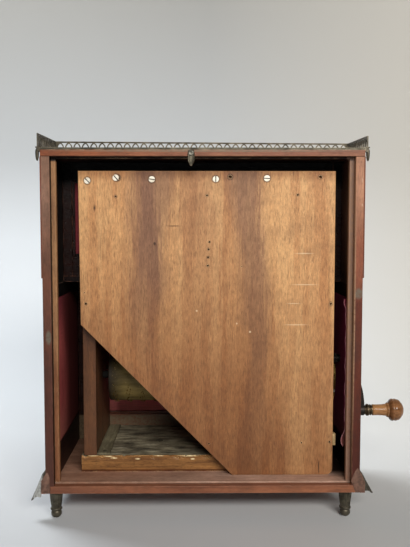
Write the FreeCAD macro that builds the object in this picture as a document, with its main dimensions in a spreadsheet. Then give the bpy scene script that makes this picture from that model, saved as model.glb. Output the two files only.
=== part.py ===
import FreeCAD, Part
import math
import os
import Sketcher
from FreeCAD import Placement, Rotation, Vector

# A table-top barrel piano, seen from its open back: a mahogany cabinet with a
# shallow upper part and a deep lower part, a string frame behind a cut-away
# back board, and a pinned barrel turned by a crank on the right.
# The design frame: x from the middle of the cabinet, towards the crank;
# y as depth from the open back, towards the display front; z from the floor.

# Driving dimensions in millimetres, each with what it measures.
DIMENSIONS = {
    "case_half": (209.0, "cabinet, middle to the outside of a side frame"),
    "wall": (11.0, "side frame thickness"),
    "base_level": (38.0, "underside of the cabinet"),
    "bottom_board": (10.0, "bottom board thickness"),
    "lining": (2.5, "floor lining thickness"),
    "top_under": (482.5, "underside of the top board"),
    "top_board": (9.0, "top board thickness"),
    "top_half": (210.0, "top board half width"),
    "top_depth": (115.0, "top board depth"),
    "upper_depth": (99.0, "depth of the upper part"),
    "lower_depth": (215.0, "depth of the lower part"),
    "ledge_level": (325.0, "top of the ledge board"),
    "ledge_board": (11.0, "ledge board thickness"),
    "rear_stile": (30.0, "width of the rear stiles"),
    "front_stile": (28.0, "width of the side frames' front stiles"),
    "window_low": (100.0, "lower edge of the side windows"),
    "window_high": (290.0, "upper edge of the side windows"),
    "front_low": (91.0, "lower edge of the lower front window"),
    "front_high": (296.0, "upper edge of the lower front window"),
    "frame_board": (12.0, "front frames' thickness"),
    "upper_stile": (13.0, "upper front frame's stiles"),
    "upper_rail": (24.5, "upper front frame's rails"),
    "bead": (4.0, "bead that holds the silk"),
    "silk": (1.0, "silk panel thickness"),
    "rebate": (10.0, "depth of the rear panel's rebate"),
    "stop_width": (6.0, "width of the stop battens"),
    "stop_depth": (8.0, "depth of the stop battens"),
    "proud_panel": (1.5, "applied upper side panel thickness"),
    "plinth_out": (5.5, "plinth moulding, out from the wall"),
    "plinth_high": (22.0, "plinth moulding height"),
    "gallery_rear_left": (20.5, "gallery above the top board, left rear end"),
    "gallery_rear_right": (17.5, "gallery above the top board, right rear end"),
    "gallery_front_left": (24.0, "gallery above the top board, left front corner"),
    "gallery_front_right": (21.5, "gallery above the top board, right front corner"),
    "gallery_out": (3.5, "gallery base rail thickness"),
    "gallery_sheet": (1.5, "pierced strip thickness"),
    "rear_strip": (2.4, "height of the strip along the top's rear edge"),
    "foot_radius": (8.8, "turned foot, top radius"),
    "foot_left": (198.5, "middle to the left feet"),
    "foot_right": (193.3, "middle to the right feet"),
    "foot_back": (18.0, "foot axis in from the back and the front"),
    "leaf_reach": (229.5, "middle to the leaf mounts' tips"),
    "board_back": (33.0, "rear face of the back board"),
    "chassis_back": (50.0, "rear face of the movement"),
    "board_left": (166.9, "back board, middle to its left edge at the top"),
    "board_lean": (1.5, "lean of that edge down to the cut corner"),
    "board_right": (178.5, "back board, middle to its right edge"),
    "board_top": (466.5, "top edge of the back board"),
    "board_bottom": (50.7, "bottom edge of the back board"),
    "cut_high": (259.5, "level where the cut corner starts"),
    "cut_low": (40.2, "where the cut corner meets the bottom edge"),
    "floor_front": (199.0, "front edge of the movement floor"),
    "floor_left": (169.0, "movement floor, middle to its left end"),
    "floor_right": (181.0, "movement floor, middle to its right end"),
    "floor_thick": (22.9, "movement floor thickness"),
    "cheek_left": (165.5, "middle to the left cheek's outside"),
    "cheek_right": (178.5, "middle to the right cheek's outside"),
    "cheek_thick": (17.5, "cheek thickness"),
    "cheek_top": (462.0, "top of the cheeks"),
    "cheek_upper": (84.0, "front edge of the cheeks' upper part"),
    "plank_low": (395.0, "lower edge of the wrest plank"),
    "plank_front": (72.0, "front face of the wrest plank and hitch rail"),
    "string_plane": (77.0, "plane of the strings"),
    "string_radius": (0.35, "string radius"),
    "tuning_radius": (2.4, "tuning pin radius"),
    "hitch_radius": (1.0, "hitch pin radius"),
    "note_first": (-126.75, "first note's place"),
    "note_pitch": (19.5, "distance from note to note"),
    "barrel_depth": (125.0, "barrel axis, depth"),
    "barrel_level": (172.0, "barrel axis, height"),
    "barrel_radius": (37.8, "barrel radius"),
    "barrel_left": (136.0, "middle to the barrel's left end"),
    "barrel_right": (146.0, "middle to the barrel's right end"),
    "pin_high": (2.4, "barrel pins stand out by"),
    "arbor_radius": (5.0, "barrel arbor radius"),
    "wheel_start": (186.5, "inner face of the barrel wheel"),
    "wheel_thick": (5.0, "barrel wheel thickness"),
    "module_size": (1.0, "gear module"),
    "tune_travel": (6.0, "sideways travel of the barrel"),
    "crank_depth": (88.15, "crank shaft axis, depth"),
    "crank_level": (202.92, "crank shaft axis, height"),
    "crank_radius": (76.0, "crank shaft axis to grip axis"),
    "shaft_radius": (5.0, "crank shaft radius"),
    "running_gap": (0.05, "radial clearance of a running fit"),
    "grip_start": (234.0, "inner end of the grip"),
    "grip_reach": (289.0, "middle to the outer end of the grip"),
    "grip_radius": (8.2, "grip body radius"),
    "knob_radius": (15.3, "grip knob radius"),
    "pin_radius": (3.0, "grip pin radius"),
    "hammer_depth": (120.0, "hammer axle, depth"),
    "hammer_level": (250.0, "hammer axle, height"),
    "axle_radius": (1.5, "hammer axle radius"),
    "button_level": (487.0, "turn button pivot height"),
    "button_place": (15.3, "turn button, to the left of the middle"),
    "button_thick": (2.2, "turn button thickness"),
    "button_screw": (3.6, "turn button screw stands out by"),
}

NOTES = 14
PINION_TEETH = 12
WHEEL_TEETH = 84


class Size:
    """A length that knows its number and its formula over the sheet."""

    def __init__(self, number, formula):
        self.number = number
        self.formula = formula

    def __float__(self):
        return float(self.number)

    def __neg__(self):
        return Size(-self.number, f"(-{self.formula})")

    def __add__(self, other):
        other = as_size(other)
        return Size(self.number + other.number, f"({self.formula} + {other.formula})")

    def __sub__(self, other):
        other = as_size(other)
        return Size(self.number - other.number, f"({self.formula} - {other.formula})")

    def __mul__(self, other):
        other = as_size(other)
        return Size(self.number * other.number, f"({self.formula} * {other.formula})")

    def __truediv__(self, other):
        other = as_size(other)
        return Size(self.number / other.number, f"({self.formula} / {other.formula})")

    def __radd__(self, other):
        return as_size(other) + self

    def __rsub__(self, other):
        return as_size(other) - self

    def __rmul__(self, other):
        return as_size(other) * self


def as_size(length):
    """Give a plain number the form of a Size."""
    if isinstance(length, Size):
        return length
    return Size(float(length), f"({float(length)!r})")


def write_sheet():
    """Fill the sheet with the driving dimensions and return them as sizes."""
    sheet = doc.addObject("Spreadsheet::Sheet", "dims")
    sheet.set("A1", "name")
    sheet.set("B1", "mm")
    sheet.set("C1", "what it measures")
    for row, (alias, (number, meaning)) in enumerate(DIMENSIONS.items(), start=2):
        sheet.set(f"A{row}", alias)
        sheet.set(f"B{row}", str(number))
        sheet.set(f"C{row}", meaning)
        sheet.setAlias(f"B{row}", alias)
    doc.recompute()
    return {alias: Size(float(sheet.get(alias)), f"dims.{alias}") for alias in DIMENSIONS}


class Sizes:
    """The driving dimensions by name."""

    def __init__(self, table):
        self.__dict__.update(table)


doc = FreeCAD.newDocument("barrel_piano")
d = Sizes(write_sheet())

# The row frame's origin is at the middle of the whole object, on the floor.
SHIFT_X = (d.leaf_reach - d.grip_reach) / 2
SHIFT_Y = (d.button_screw - d.lower_depth - d.plinth_out) / 2

ALONG_X = Rotation(Vector(0, 1, 0), 90)
ALONG_Y = Rotation(Vector(1, 0, 0), -90)
ALONG_Z = Rotation()

places = {}
subparts = []


def tie(item, **lengths):
    """Bind an object's properties to formulas over the sheet."""
    for name, length in lengths.items():
        item.setExpression(name, as_size(length).formula)


def place(item, x=0.0, y=0.0, z=0.0):
    """Bind an object's place, and remember it for subpart()."""
    corner = (as_size(x), as_size(y), as_size(z))
    places[item.Name] = corner
    for axis, length in zip("xyz", corner):
        item.setExpression(f"Placement.Base.{axis}", length.formula)
    return item


def block(name, x, y, z):
    """A box between two values along each axis."""
    item = doc.addObject("Part::Box", name)
    tie(item, Length=x[1] - as_size(x[0]), Width=y[1] - as_size(y[0]), Height=z[1] - as_size(z[0]))
    return place(item, x[0], y[0], z[0])


def rod(name, turn, radius, length, x, y, z):
    """A cylinder from a point along an axis."""
    item = doc.addObject("Part::Cylinder", name)
    item.Placement = Placement(Vector(), turn)
    tie(item, Radius=radius, Height=length)
    return place(item, x, y, z)


def taper(name, turn, first, second, length, x, y, z):
    """A cone from a point along an axis."""
    item = doc.addObject("Part::Cone", name)
    item.Placement = Placement(Vector(), turn)
    tie(item, Radius1=first, Radius2=second, Height=length)
    return place(item, x, y, z)


def gather(name, pieces):
    """Several solids kept side by side in one object."""
    item = doc.addObject("Part::Compound", name)
    item.Links = pieces
    return place(item)


def join(name, pieces):
    """Several solids fused into one."""
    item = doc.addObject("Part::MultiFuse", name)
    item.Shapes = pieces
    return place(item)


def cut(name, base, tools):
    """A solid with tools taken out of it."""
    item = doc.addObject("Part::Cut", name)
    item.Base = base
    item.Tool = tools[0] if len(tools) == 1 else gather(name + "_tools", tools)
    return place(item)


def eased(name, base, radius, chosen=None):
    """A piece with its edges rounded, all of them or the chosen ones."""
    doc.recompute()
    edges = [
        number
        for number, edge in enumerate(base.Shape.Edges, start=1)
        if chosen is None or chosen(edge)
    ]
    item = doc.addObject("Part::Fillet", name)
    item.Base = base
    item.Edges = [(number, radius, radius) for number in edges]
    return place(item)


def shaped(name, shape):
    """A piece whose shape is worked out from the sheet's numbers."""
    item = doc.addObject("Part::Feature", name)
    item.Shape = Part.makeCompound([shape])
    return place(item)


def origin_plane(body, role):
    """One of a body's own origin planes."""
    return [plane for plane in body.Origin.OriginFeatures if plane.Role == role][0]


def sketch_outline(body, role, points):
    """A closed sketch whose corners are bound; a point's third value bows the side after it."""
    sketch = body.newObject("Sketcher::SketchObject", body.Name + "_outline")
    sketch.AttachmentSupport = [(origin_plane(body, role), "")]
    sketch.MapMode = "FlatFace"
    corners = [(as_size(point[0]), as_size(point[1])) for point in points]
    bows = [point[2] if len(point) == 3 else 0 for point in points]
    # an arc runs anticlockwise in the sketch, so one that bows inward is kept end first
    ends = [(2, 1) if bow < 0 else (1, 2) for bow in bows]
    radii = {}
    count = len(corners)
    for index, bow in enumerate(bows):
        following = corners[(index + 1) % count]
        start = Vector(float(corners[index][0]), float(corners[index][1]), 0)
        end = Vector(float(following[0]), float(following[1]), 0)
        if bow == 0:
            sketch.addGeometry(Part.LineSegment(start, end))
            continue
        run = following[0] - corners[index][0]
        rise = following[1] - corners[index][1]
        radius = (run * run + rise * rise) / (8 * abs(bow)) + abs(bow) / 2
        radii[index] = radius
        side = Vector(float(rise), -float(run), 0).normalize()
        centre = (start + end) / 2 - side * math.copysign(float(radius) - abs(bow), bow)
        if bow < 0:
            start, end = end, start
        first = math.atan2(start.y - centre.y, start.x - centre.x)
        last = math.atan2(end.y - centre.y, end.x - centre.x)
        if last < first:
            last += 2 * math.pi
        circle = Part.Circle(centre, Vector(0, 0, 1), float(radius))
        sketch.addGeometry(Part.ArcOfCircle(circle, first, last))
    for index in range(count):
        following = (index + 1) % count
        sketch.addConstraint(
            Sketcher.Constraint("Coincident", index, ends[index][1], following, ends[following][0])
        )
    for index, corner in enumerate(corners):
        for kind, length in zip(("DistanceX", "DistanceY"), corner):
            constraint = Sketcher.Constraint(kind, -1, 1, index, ends[index][0], float(length))
            bind_constraint(sketch, constraint, length)
    for index, radius in radii.items():
        bind_constraint(sketch, Sketcher.Constraint("Radius", index, float(radius)), radius)
    return sketch


def bind_constraint(sketch, constraint, length):
    """Add a constraint to a sketch and bind it to a formula over the sheet."""
    number = sketch.addConstraint(constraint)
    sketch.setExpression(f"Constraints[{number}]", length.formula)


def board(name, role, points, start, end):
    """A board with a sketched outline, padded from start to end along the plane's normal."""
    body = doc.addObject("PartDesign::Body", name)
    sketch = sketch_outline(body, role, points)
    pad = body.newObject("PartDesign::Pad", name + "_pad")
    pad.Profile = sketch
    pad.Reversed = role == "XZ_Plane"
    tie(pad, Length=end - as_size(start))
    offset = {"XY_Plane": (0, 0, start), "XZ_Plane": (0, start, 0), "YZ_Plane": (start, 0, 0)}
    return place(body, *offset[role])


def turned(name, turn, profile, x, y, z):
    """A turned piece: its profile is radius and height, its axis starts at a point."""
    body = doc.addObject("PartDesign::Body", name)
    sketch = sketch_outline(body, "XZ_Plane", profile)
    revolution = body.newObject("PartDesign::Revolution", name + "_turned")
    revolution.Profile = sketch
    revolution.ReferenceAxis = (sketch, ["V_Axis"])
    revolution.Angle = 360
    body.Placement = Placement(Vector(), turn)
    return place(body, x, y, z)


def subpart(node, item):
    """Name a finished sub-part and move it into the row frame."""
    item.Label = node
    x, y, z = places[item.Name]
    place(item, x + SHIFT_X, y + SHIFT_Y, z)
    subparts.append(item)


def either_side(side, near, far):
    """The span from near to far on the left (-1) or the right (1) of the middle."""
    near = as_size(near)
    far = as_size(far)
    return (near, far) if side > 0 else (-far, -near)


SIDES = (("left", -1), ("right", 1))
INSIDE = d.case_half - d.wall
FLOOR = d.base_level + d.bottom_board
LINED = FLOOR + d.lining
TOP = d.top_under + d.top_board
LEDGE_UNDER = d.ledge_level - d.ledge_board
SOFT_EDGE = 0.7
FINE_EDGE = 0.5
SHAFT_HOLE = d.shaft_radius + 3.0
FRAME_SEAT = 3.0
# the low strip on the top's rear edge: how deep its seat is, and its rear and front faces
STRIP_SEAT = 0.6
STRIP_PLACE = (0.5, 4.0)


def side_frames():
    """Each side: two stiles, two rails and the upper panel; the right one has a crank rail."""
    housing_depth = 5.0
    window = (d.rear_stile, d.lower_depth - d.front_stile)
    deep = (d.rear_stile, d.lower_depth)
    for label, side in SIDES:
        across = either_side(side, INSIDE, d.case_half)
        frame = [
            block(f"{label}_rear_stile", across, (0, d.rear_stile), (d.base_level, d.top_under)),
            block(f"{label}_front_stile", across, (window[1], deep[1]), (d.window_low, d.window_high)),
            block(f"{label}_low_rail", across, deep, (d.base_level, d.window_low)),
            block(f"{label}_mid_rail", across, deep, (d.window_high, LEDGE_UNDER)),
            block(f"{label}_upper_panel", across, (deep[0], d.upper_depth), (LEDGE_UNDER, d.top_under)),
        ]
        if side > 0:
            half_rail = 13.0
            rail = block(
                "crank_rail",
                across,
                window,
                (d.crank_level - half_rail, d.crank_level + half_rail),
            )
            hole = rod("crank_rail_hole", ALONG_X, SHAFT_HOLE, d.wall, INSIDE, d.crank_depth, d.crank_level)
            frame.append(cut("crank_rail_bored", rail, [hole]))
        frame = [
            eased(f"{piece.Name}_eased", piece, SOFT_EDGE) if piece.Name != "crank_rail_bored" else piece
            for piece in frame
        ]
        housing = block(
            f"{label}_housing",
            either_side(side, INSIDE, INSIDE + housing_depth),
            (0, d.lower_depth),
            (d.base_level, FLOOR),
        )
        for index in (0, 2):
            frame[index] = cut(f"{frame[index].Name}_housed", frame[index], [housing])
        subpart(f"case_{label}_side", gather(f"{label}_side_frame", frame))
    bottom = block(
        "bottom",
        (-(INSIDE + housing_depth), INSIDE + housing_depth),
        (0, d.lower_depth),
        (d.base_level, FLOOR),
    )
    subpart("case_bottom", eased("bottom_eased", bottom, SOFT_EDGE))


def top_and_ledge():
    """Top board with the turn button's screw hole, ledge board, floor lining, stops and side panels."""
    top = block("top", (-d.top_half, d.top_half), (0, d.top_depth), (d.top_under, TOP))
    pilot = rod("top_pilot", ALONG_Y, BUTTON_SHANK, BUTTON_PILOT, -d.button_place, 0, d.button_level)
    seat = block(
        "strip_seat",
        (-d.top_half, d.top_half),
        (0, STRIP_PLACE[1]),
        (TOP - STRIP_SEAT, TOP + STRIP_SEAT),
    )
    subpart("case_top", cut("top_drilled", eased("top_eased", top, 1.0), [pilot, seat]))
    overhang = 3.0
    out = d.case_half + overhang
    tongue = d.upper_depth - d.frame_board
    front = d.lower_depth + d.plinth_out
    outline = [
        (-INSIDE, tongue),
        (INSIDE, tongue),
        (INSIDE, d.upper_depth),
        (out, d.upper_depth),
        (out, front),
        (-out, front),
        (-out, d.upper_depth),
        (-INSIDE, d.upper_depth),
    ]
    ledge = board("ledge", "XY_Plane", outline, LEDGE_UNDER, d.ledge_level)
    nosing = 2.5
    ledge = eased("ledge_eased", ledge, nosing, lambda edge: edge.BoundBox.YMin > float(front) - 0.1)
    seat_high = (d.ledge_level - FRAME_SEAT, d.ledge_level)
    seat = block("ledge_seat", (-INSIDE, INSIDE), (tongue, d.upper_depth), seat_high)
    subpart("ledge_board", cut("ledge_rebated", ledge, [seat]))
    lining = block(
        "lining", (-INSIDE, INSIDE), (d.rebate, d.lower_depth - d.frame_board), (FLOOR, LINED)
    )
    subpart("floor_lining", eased("lining_eased", lining, FINE_EDGE))
    deep = (d.rebate, d.rebate + d.stop_depth)
    top_stop = 2.0
    stops = [
        block("stop_left", either_side(-1, INSIDE - d.stop_width, INSIDE), deep, (LINED, d.top_under)),
        block("stop_right", either_side(1, INSIDE - d.stop_width, INSIDE), deep, (LINED, d.top_under)),
        block(
            "stop_top",
            (-(INSIDE - d.stop_width), INSIDE - d.stop_width),
            deep,
            (d.top_under - top_stop, d.top_under),
        ),
    ]
    stops = [eased(f"{stop.Name}_eased", stop, FINE_EDGE) for stop in stops]
    subpart("rear_stop_battens", gather("stops", stops))
    panels = [
        block(
            f"{label}_panel",
            either_side(side, d.case_half, d.case_half + d.proud_panel),
            (0, d.upper_depth),
            (d.ledge_level, d.top_under),
        )
        for label, side in SIDES
    ]
    panels = [eased(f"{panel.Name}_eased", panel, FINE_EDGE) for panel in panels]
    subpart("upper_side_panels", gather("panels", panels))


def front_frame(name, level, high, stile, low_rail, top_rail, depth):
    """A front frame of two stiles, two rails and the beads that hold its silk."""
    rear = depth - d.frame_board
    across = INSIDE - stile
    pieces = [
        block(f"{name}_left", (-INSIDE, -across), (rear, depth), (level, high)),
        block(f"{name}_right", (across, INSIDE), (rear, depth), (level, high)),
        block(f"{name}_low", (-across, across), (rear, depth), (level, level + low_rail)),
        block(f"{name}_high", (-across, across), (rear, depth), (high - top_rail, high)),
    ]
    inset = 2.0
    bead = (rear + inset, rear + inset + d.bead)
    low = level + low_rail
    top = high - top_rail
    pieces += [
        block(f"{name}_bead_left", (-across, d.bead - across), bead, (low, top)),
        block(f"{name}_bead_right", (across - d.bead, across), bead, (low, top)),
        block(f"{name}_bead_low", (d.bead - across, across - d.bead), bead, (low, low + d.bead)),
        block(f"{name}_bead_high", (d.bead - across, across - d.bead), bead, (top - d.bead, top)),
    ]
    return gather(name, [eased(f"{piece.Name}_eased", piece, SOFT_EDGE) for piece in pieces])


def fronts_and_silk():
    """The two front frames and the four silk panels."""
    lower_stile = 20.0
    low_rail = d.front_low - FLOOR
    top_rail = LEDGE_UNDER - d.front_high
    subpart(
        "upper_front_frame",
        front_frame(
            "upper_front",
            d.ledge_level - FRAME_SEAT,
            d.top_under,
            d.upper_stile,
            d.upper_rail + FRAME_SEAT,
            d.upper_rail,
            d.upper_depth,
        ),
    )
    subpart(
        "lower_front_frame",
        front_frame("lower_front", FLOOR, LEDGE_UNDER, lower_stile, low_rail, top_rail, d.lower_depth),
    )
    behind = d.frame_board - d.bead - 2.0
    across = INSIDE - d.upper_stile
    subpart(
        "upper_front_silk",
        block(
            "upper_silk",
            (-across, across),
            (d.upper_depth - behind, d.upper_depth - behind + d.silk),
            (d.ledge_level + d.upper_rail, d.top_under - d.upper_rail),
        ),
    )
    across = INSIDE - lower_stile
    subpart(
        "lower_front_silk",
        block(
            "lower_silk",
            (-across, across),
            (d.lower_depth - behind, d.lower_depth - behind + d.silk),
            (d.front_low, d.front_high),
        ),
    )
    lap = 5.0
    shaft_room = d.shaft_radius + 1.5
    for label, side in SIDES:
        panel = block(
            f"{label}_silk",
            either_side(side, INSIDE - d.silk, INSIDE),
            (d.rebate + d.stop_depth, d.lower_depth - d.front_stile + 2 * lap),
            (d.window_low - lap, d.window_high + lap),
        )
        if side > 0:
            hole = rod(
                "silk_hole",
                ALONG_X,
                shaft_room,
                d.silk,
                INSIDE - d.silk,
                d.crank_depth,
                d.crank_level,
            )
            panel = cut("right_silk_holed", panel, [hole])
        subpart(f"{label}_side_silk", panel)


def plinth():
    """Plinth moulding: a bevelled strip on each side and one across the front."""
    bevel = 4.5
    lip = 1.0
    high = d.base_level + d.plinth_high
    front = d.lower_depth + d.plinth_out
    strips = []
    for label, side in SIDES:
        near = d.case_half
        far = d.case_half + d.plinth_out
        outline = [
            (near * side, d.base_level),
            (far * side, d.base_level),
            (far * side, high - bevel),
            ((near + lip) * side, high),
            (near * side, high),
        ]
        strips.append(board(f"plinth_{label}", "XZ_Plane", outline, 0, front))
    outline = [
        (d.lower_depth, d.base_level),
        (front, d.base_level),
        (front, high - bevel),
        (d.lower_depth + lip, high),
        (d.lower_depth, high),
    ]
    strips.append(board("plinth_front", "YZ_Plane", outline, -d.case_half, d.case_half))
    subpart("plinth_moulding", gather("plinth", strips))


def arch_wires(middle, bay, springing, crown):
    """The two openings of one bay of the gallery: a pointed arch, and the spandrel beside it."""
    opening = 3.6
    bar = 1.7
    leg = 6.0
    reach = 2 * opening
    foot = springing - leg
    apex = springing + reach * math.sin(math.radians(60))
    arch = wire_of(
        [
            (middle - opening, foot),
            (middle + opening, foot),
            (middle + opening, springing),
            (middle, apex),
            (middle - opening, springing),
        ],
        {2: (middle - opening, springing, reach), 3: (middle + opening, springing, reach)},
    )
    outer = reach + bar
    lift = crown - springing
    shoulder = opening - math.sqrt(outer**2 - lift**2)
    spandrel = wire_of(
        [
            (middle - shoulder, crown),
            (middle + opening + bar, springing),
            (middle + bay - opening - bar, springing),
            (middle + bay + shoulder, crown),
        ],
        {0: (middle - opening, springing, outer), 2: (middle + bay + opening, springing, outer)},
    )
    return [arch, spandrel]


def wire_of(points, arcs):
    """A closed flat wire; the arcs dict gives centre x, centre y and radius after a point."""
    edges = []
    for index, point in enumerate(points):
        following = points[(index + 1) % len(points)]
        start = Vector(point[0], point[1], 0)
        end = Vector(following[0], following[1], 0)
        if index in arcs:
            centre = Vector(arcs[index][0], arcs[index][1], 0)
            middle = (start + end) / 2 - centre
            edges.append(Part.Arc(start, centre + middle.normalize() * arcs[index][2], end).toShape())
        else:
            edges.append(Part.LineSegment(start, end).toShape())
    return Part.Wire(edges)


def pierced_strip(length, low, high):
    """A flat strip along x, standing on its edge, with arches cut through it that follow its top.

    high gives the height of its top at its two ends.
    """
    thickness = float(d.gallery_sheet)
    rim = 2.2
    crown_rise = 7.3
    usual_bay = 12.0
    bays = round(length / usual_bay)
    bay = length / bays
    slope = (high[1] - high[0]) / length
    corners = [(0, low), (length, low), (length, high[1]), (0, high[0]), (0, low)]
    outline = Part.makePolygon([Vector(x, y, 0) for x, y in corners])
    holes = []
    for number in range(bays):
        middle = (number + 0.5) * bay
        crown = high[0] + slope * middle - rim
        wires = arch_wires(middle, bay, crown - crown_rise, crown)
        holes += wires if number < bays - 1 else wires[:1]
    strip = Part.Face(outline).extrude(Vector(0, 0, thickness))
    tools = [Part.Face(hole).extrude(Vector(0, 0, thickness)) for hole in holes]
    strip = strip.cut(tools)
    strip.rotate(Vector(), Vector(1, 0, 0), 90)
    strip.translate(Vector(0, thickness, 0))
    return strip


BASE_LAP = 2.5


def gallery():
    """Pierced gallery on the top's front and sides, a low strip on its rear edge, and the drops."""
    base_low = TOP - BASE_LAP
    base_high = TOP + 3.0
    out = d.top_half + d.gallery_out
    front = d.top_depth + d.gallery_out
    sheet = float(d.gallery_sheet)
    rear_top = {"left": float(TOP + d.gallery_rear_left), "right": float(TOP + d.gallery_rear_right)}
    front_top = {"left": float(TOP + d.gallery_front_left), "right": float(TOP + d.gallery_front_right)}
    half = float(out) - sheet
    strip = pierced_strip(2 * half, float(base_high), (front_top["left"], front_top["right"]))
    strip.translate(Vector(-half, float(front) - sheet, 0))
    pieces = [
        shaped("front_strip", strip),
        block("front_base", (-d.top_half, d.top_half), (d.top_depth, front), (base_low, base_high)),
        block(
            "rear_strip",
            (-d.top_half, d.top_half),
            STRIP_PLACE,
            (TOP - STRIP_SEAT, TOP + d.rear_strip),
        ),
    ]
    for label, side in SIDES:
        strip = pierced_strip(float(front), float(base_high), (rear_top[label], front_top[label]))
        strip.rotate(Vector(), Vector(0, 0, 1), 90)
        near = float(out) if side > 0 else -float(out) + sheet
        strip.translate(Vector(near, 0, 0))
        pieces.append(shaped(f"{label}_strip", strip))
        across = either_side(side, d.top_half, out)
        pieces.append(block(f"{label}_base", across, (0, front), (base_low, base_high)))
    subpart("gallery", gather("gallery_strips", pieces))
    inset = 0.5
    drops = []
    for label, side in SIDES:
        for end, depth in (("rear", inset), ("front", float(front) - DROP_WIDTH - 2 * inset)):
            drops.append(shaped(f"{label}_{end}_drop", gallery_drop(side, depth)))
    subpart("gallery_drops", gather("drops", drops))


DROP_WIDTH = 9.0


def gallery_drop(side, depth):
    """One tongue-shaped drop: its profile from behind, trimmed to a pointed tongue from the side."""
    clearance = 0.1
    wall = float(d.case_half + d.proud_panel) + clearance
    rail = float(d.top_half + d.gallery_out)
    low = float(d.top_under) - 5.7
    under = float(TOP - BASE_LAP)
    high = under + 6.8
    width = DROP_WIDTH
    # places outward and heights, down the drop's outer face and back along the wall
    profile = [
        (wall, under),
        (rail, under),
        (rail, high),
        (rail + 2.6, high - 0.6),
        (rail + 2.7, under - 4.0),
        (rail + 0.7, low),
        (wall, low),
    ]
    section = Part.makePolygon([Vector(x * side, 0, z) for x, z in profile + profile[:1]])
    body = Part.Face(section).extrude(Vector(0, width, 0))
    shoulder = low + 7.0
    hip = low + 2.0
    outer = 0.22 * width
    corners = [Vector(0, y, z) for y, z in ((0, high), (0, shoulder), (width, shoulder), (width, high))]
    tip = Vector(0, width / 2, low)
    tongue = Part.Wire(
        [
            Part.LineSegment(corners[0], corners[1]).toShape(),
            Part.Arc(corners[1], Vector(0, outer, hip), tip).toShape(),
            Part.Arc(tip, Vector(0, width - outer, hip), corners[2]).toShape(),
            Part.LineSegment(corners[2], corners[3]).toShape(),
            Part.LineSegment(corners[3], corners[0]).toShape(),
        ]
    )
    beyond = 300.0
    trim = Part.Face(tongue).extrude(Vector(side * beyond, 0, 0))
    drop = body.common(trim)
    drop.translate(Vector(0, depth, 0))
    return drop


def leaf_mount(side, rear, tip_level):
    """A leaf mount: a flat tab on the wall, then a hollow leaf that flares out over the plinth."""
    wall = float(d.case_half)
    reach = float(d.leaf_reach)
    plinth = wall + float(d.plinth_out)
    above_plinth = 5.5
    top_level = float(d.base_level + d.plinth_high) + above_plinth
    thick = 1.4
    drop = top_level - tip_level
    # each station: share of the way down, edges' and middle's distance out, half width
    stations = [
        (0.0, wall, wall + 2.0, 4.0),
        (0.14, wall + 3.6, wall + 6.6, 6.5),
        (0.28, plinth + 0.8, plinth + 4.2, 8.5),
        (0.52, plinth + 1.0, plinth + 7.0, 10.0),
        (0.74, plinth + 2.5, reach - 3.5, 10.5),
        (0.9, plinth + 4.0, reach - 0.9, 9.0),
        (1.0, plinth + 7.0, reach, 4.0),
    ]
    inset = 12.0
    middle = inset if rear else float(d.lower_depth) - inset
    sections = []
    for share, edge, out, half in stations:
        level = top_level - share * drop
        edge = side * edge
        out = side * out
        hollow = out - side * thick
        corners = [
            Vector(edge, middle - half, level),
            Vector(edge, middle + half, level),
            Vector(edge, middle + half - thick, level),
            Vector(edge, middle - half + thick, level),
        ]
        sections.append(
            Part.Wire(
                [
                    Part.Arc(corners[0], Vector(out, middle, level), corners[1]).toShape(),
                    Part.LineSegment(corners[1], corners[2]).toShape(),
                    Part.Arc(corners[2], Vector(hollow, middle, level), corners[3]).toShape(),
                    Part.LineSegment(corners[3], corners[0]).toShape(),
                ]
            )
        )
    leaf = Part.makeLoft(sections, True, True)
    tab_low = float(d.base_level + d.plinth_high)
    tab_thick = 1.6
    tab_wide = 8.0
    corner = Vector(min(side * wall, side * (wall + tab_thick)), middle - tab_wide / 2, tab_low)
    tab = Part.makeBox(tab_thick, tab_wide, top_level - tab_low, corner)
    return leaf.fuse(tab)


def mounts_and_feet():
    """Four leaf mounts and four turned feet."""
    left_tip = 24.5
    right_tip = 33.0
    leaves = []
    for label, side in SIDES:
        tip = left_tip if side < 0 else right_tip
        for end in ("rear", "front"):
            leaves.append(shaped(f"{label}_{end}_leaf", leaf_mount(side, end == "rear", tip)))
    subpart("leaf_mounts", gather("leaves", leaves))
    radius = d.foot_radius
    high = d.base_level
    profile = [
        (0, 0),
        (radius * 0.5, 0, 1.4),
        (radius * 0.76, high * 0.23),
        (radius * 0.86, high * 0.26, 0.8),
        (radius * 0.86, high * 0.34),
        (radius * 0.72, high * 0.37, -0.6),
        (radius * 0.95, high * 0.88),
        (radius, high * 0.9),
        (radius, high),
        (0, high),
    ]
    feet = []
    for label, side in SIDES:
        for end, depth in (("rear", d.foot_back), ("front", d.lower_depth - d.foot_back)):
            across = d.foot_right if side > 0 else -d.foot_left
            feet.append(turned(f"{label}_{end}_foot", ALONG_Z, profile, across, depth, 0))
    subpart("feet", gather("foot_set", feet))


def cut_line(x, lift=0.0):
    """Height of the back board's cut corner at a place across, raised by lift."""
    slope = (d.cut_high - d.board_bottom) / (d.cut_low + d.board_left - d.board_lean)
    return d.cut_high + lift - (x + d.board_left - d.board_lean) * slope


def cut_place(level, lift=0.0):
    """The place across where the raised line of the cut corner meets a level."""
    slope = (d.cut_high - d.board_bottom) / (d.cut_low + d.board_left - d.board_lean)
    return (d.cut_high + lift - level) / slope - (d.board_left - d.board_lean)


CHASSIS_FLOOR = LINED + d.floor_thick
LEFT_INNER = d.cheek_left - d.cheek_thick
RIGHT_INNER = d.cheek_right - d.cheek_thick
BETWEEN = (-LEFT_INNER, RIGHT_INNER)

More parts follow.
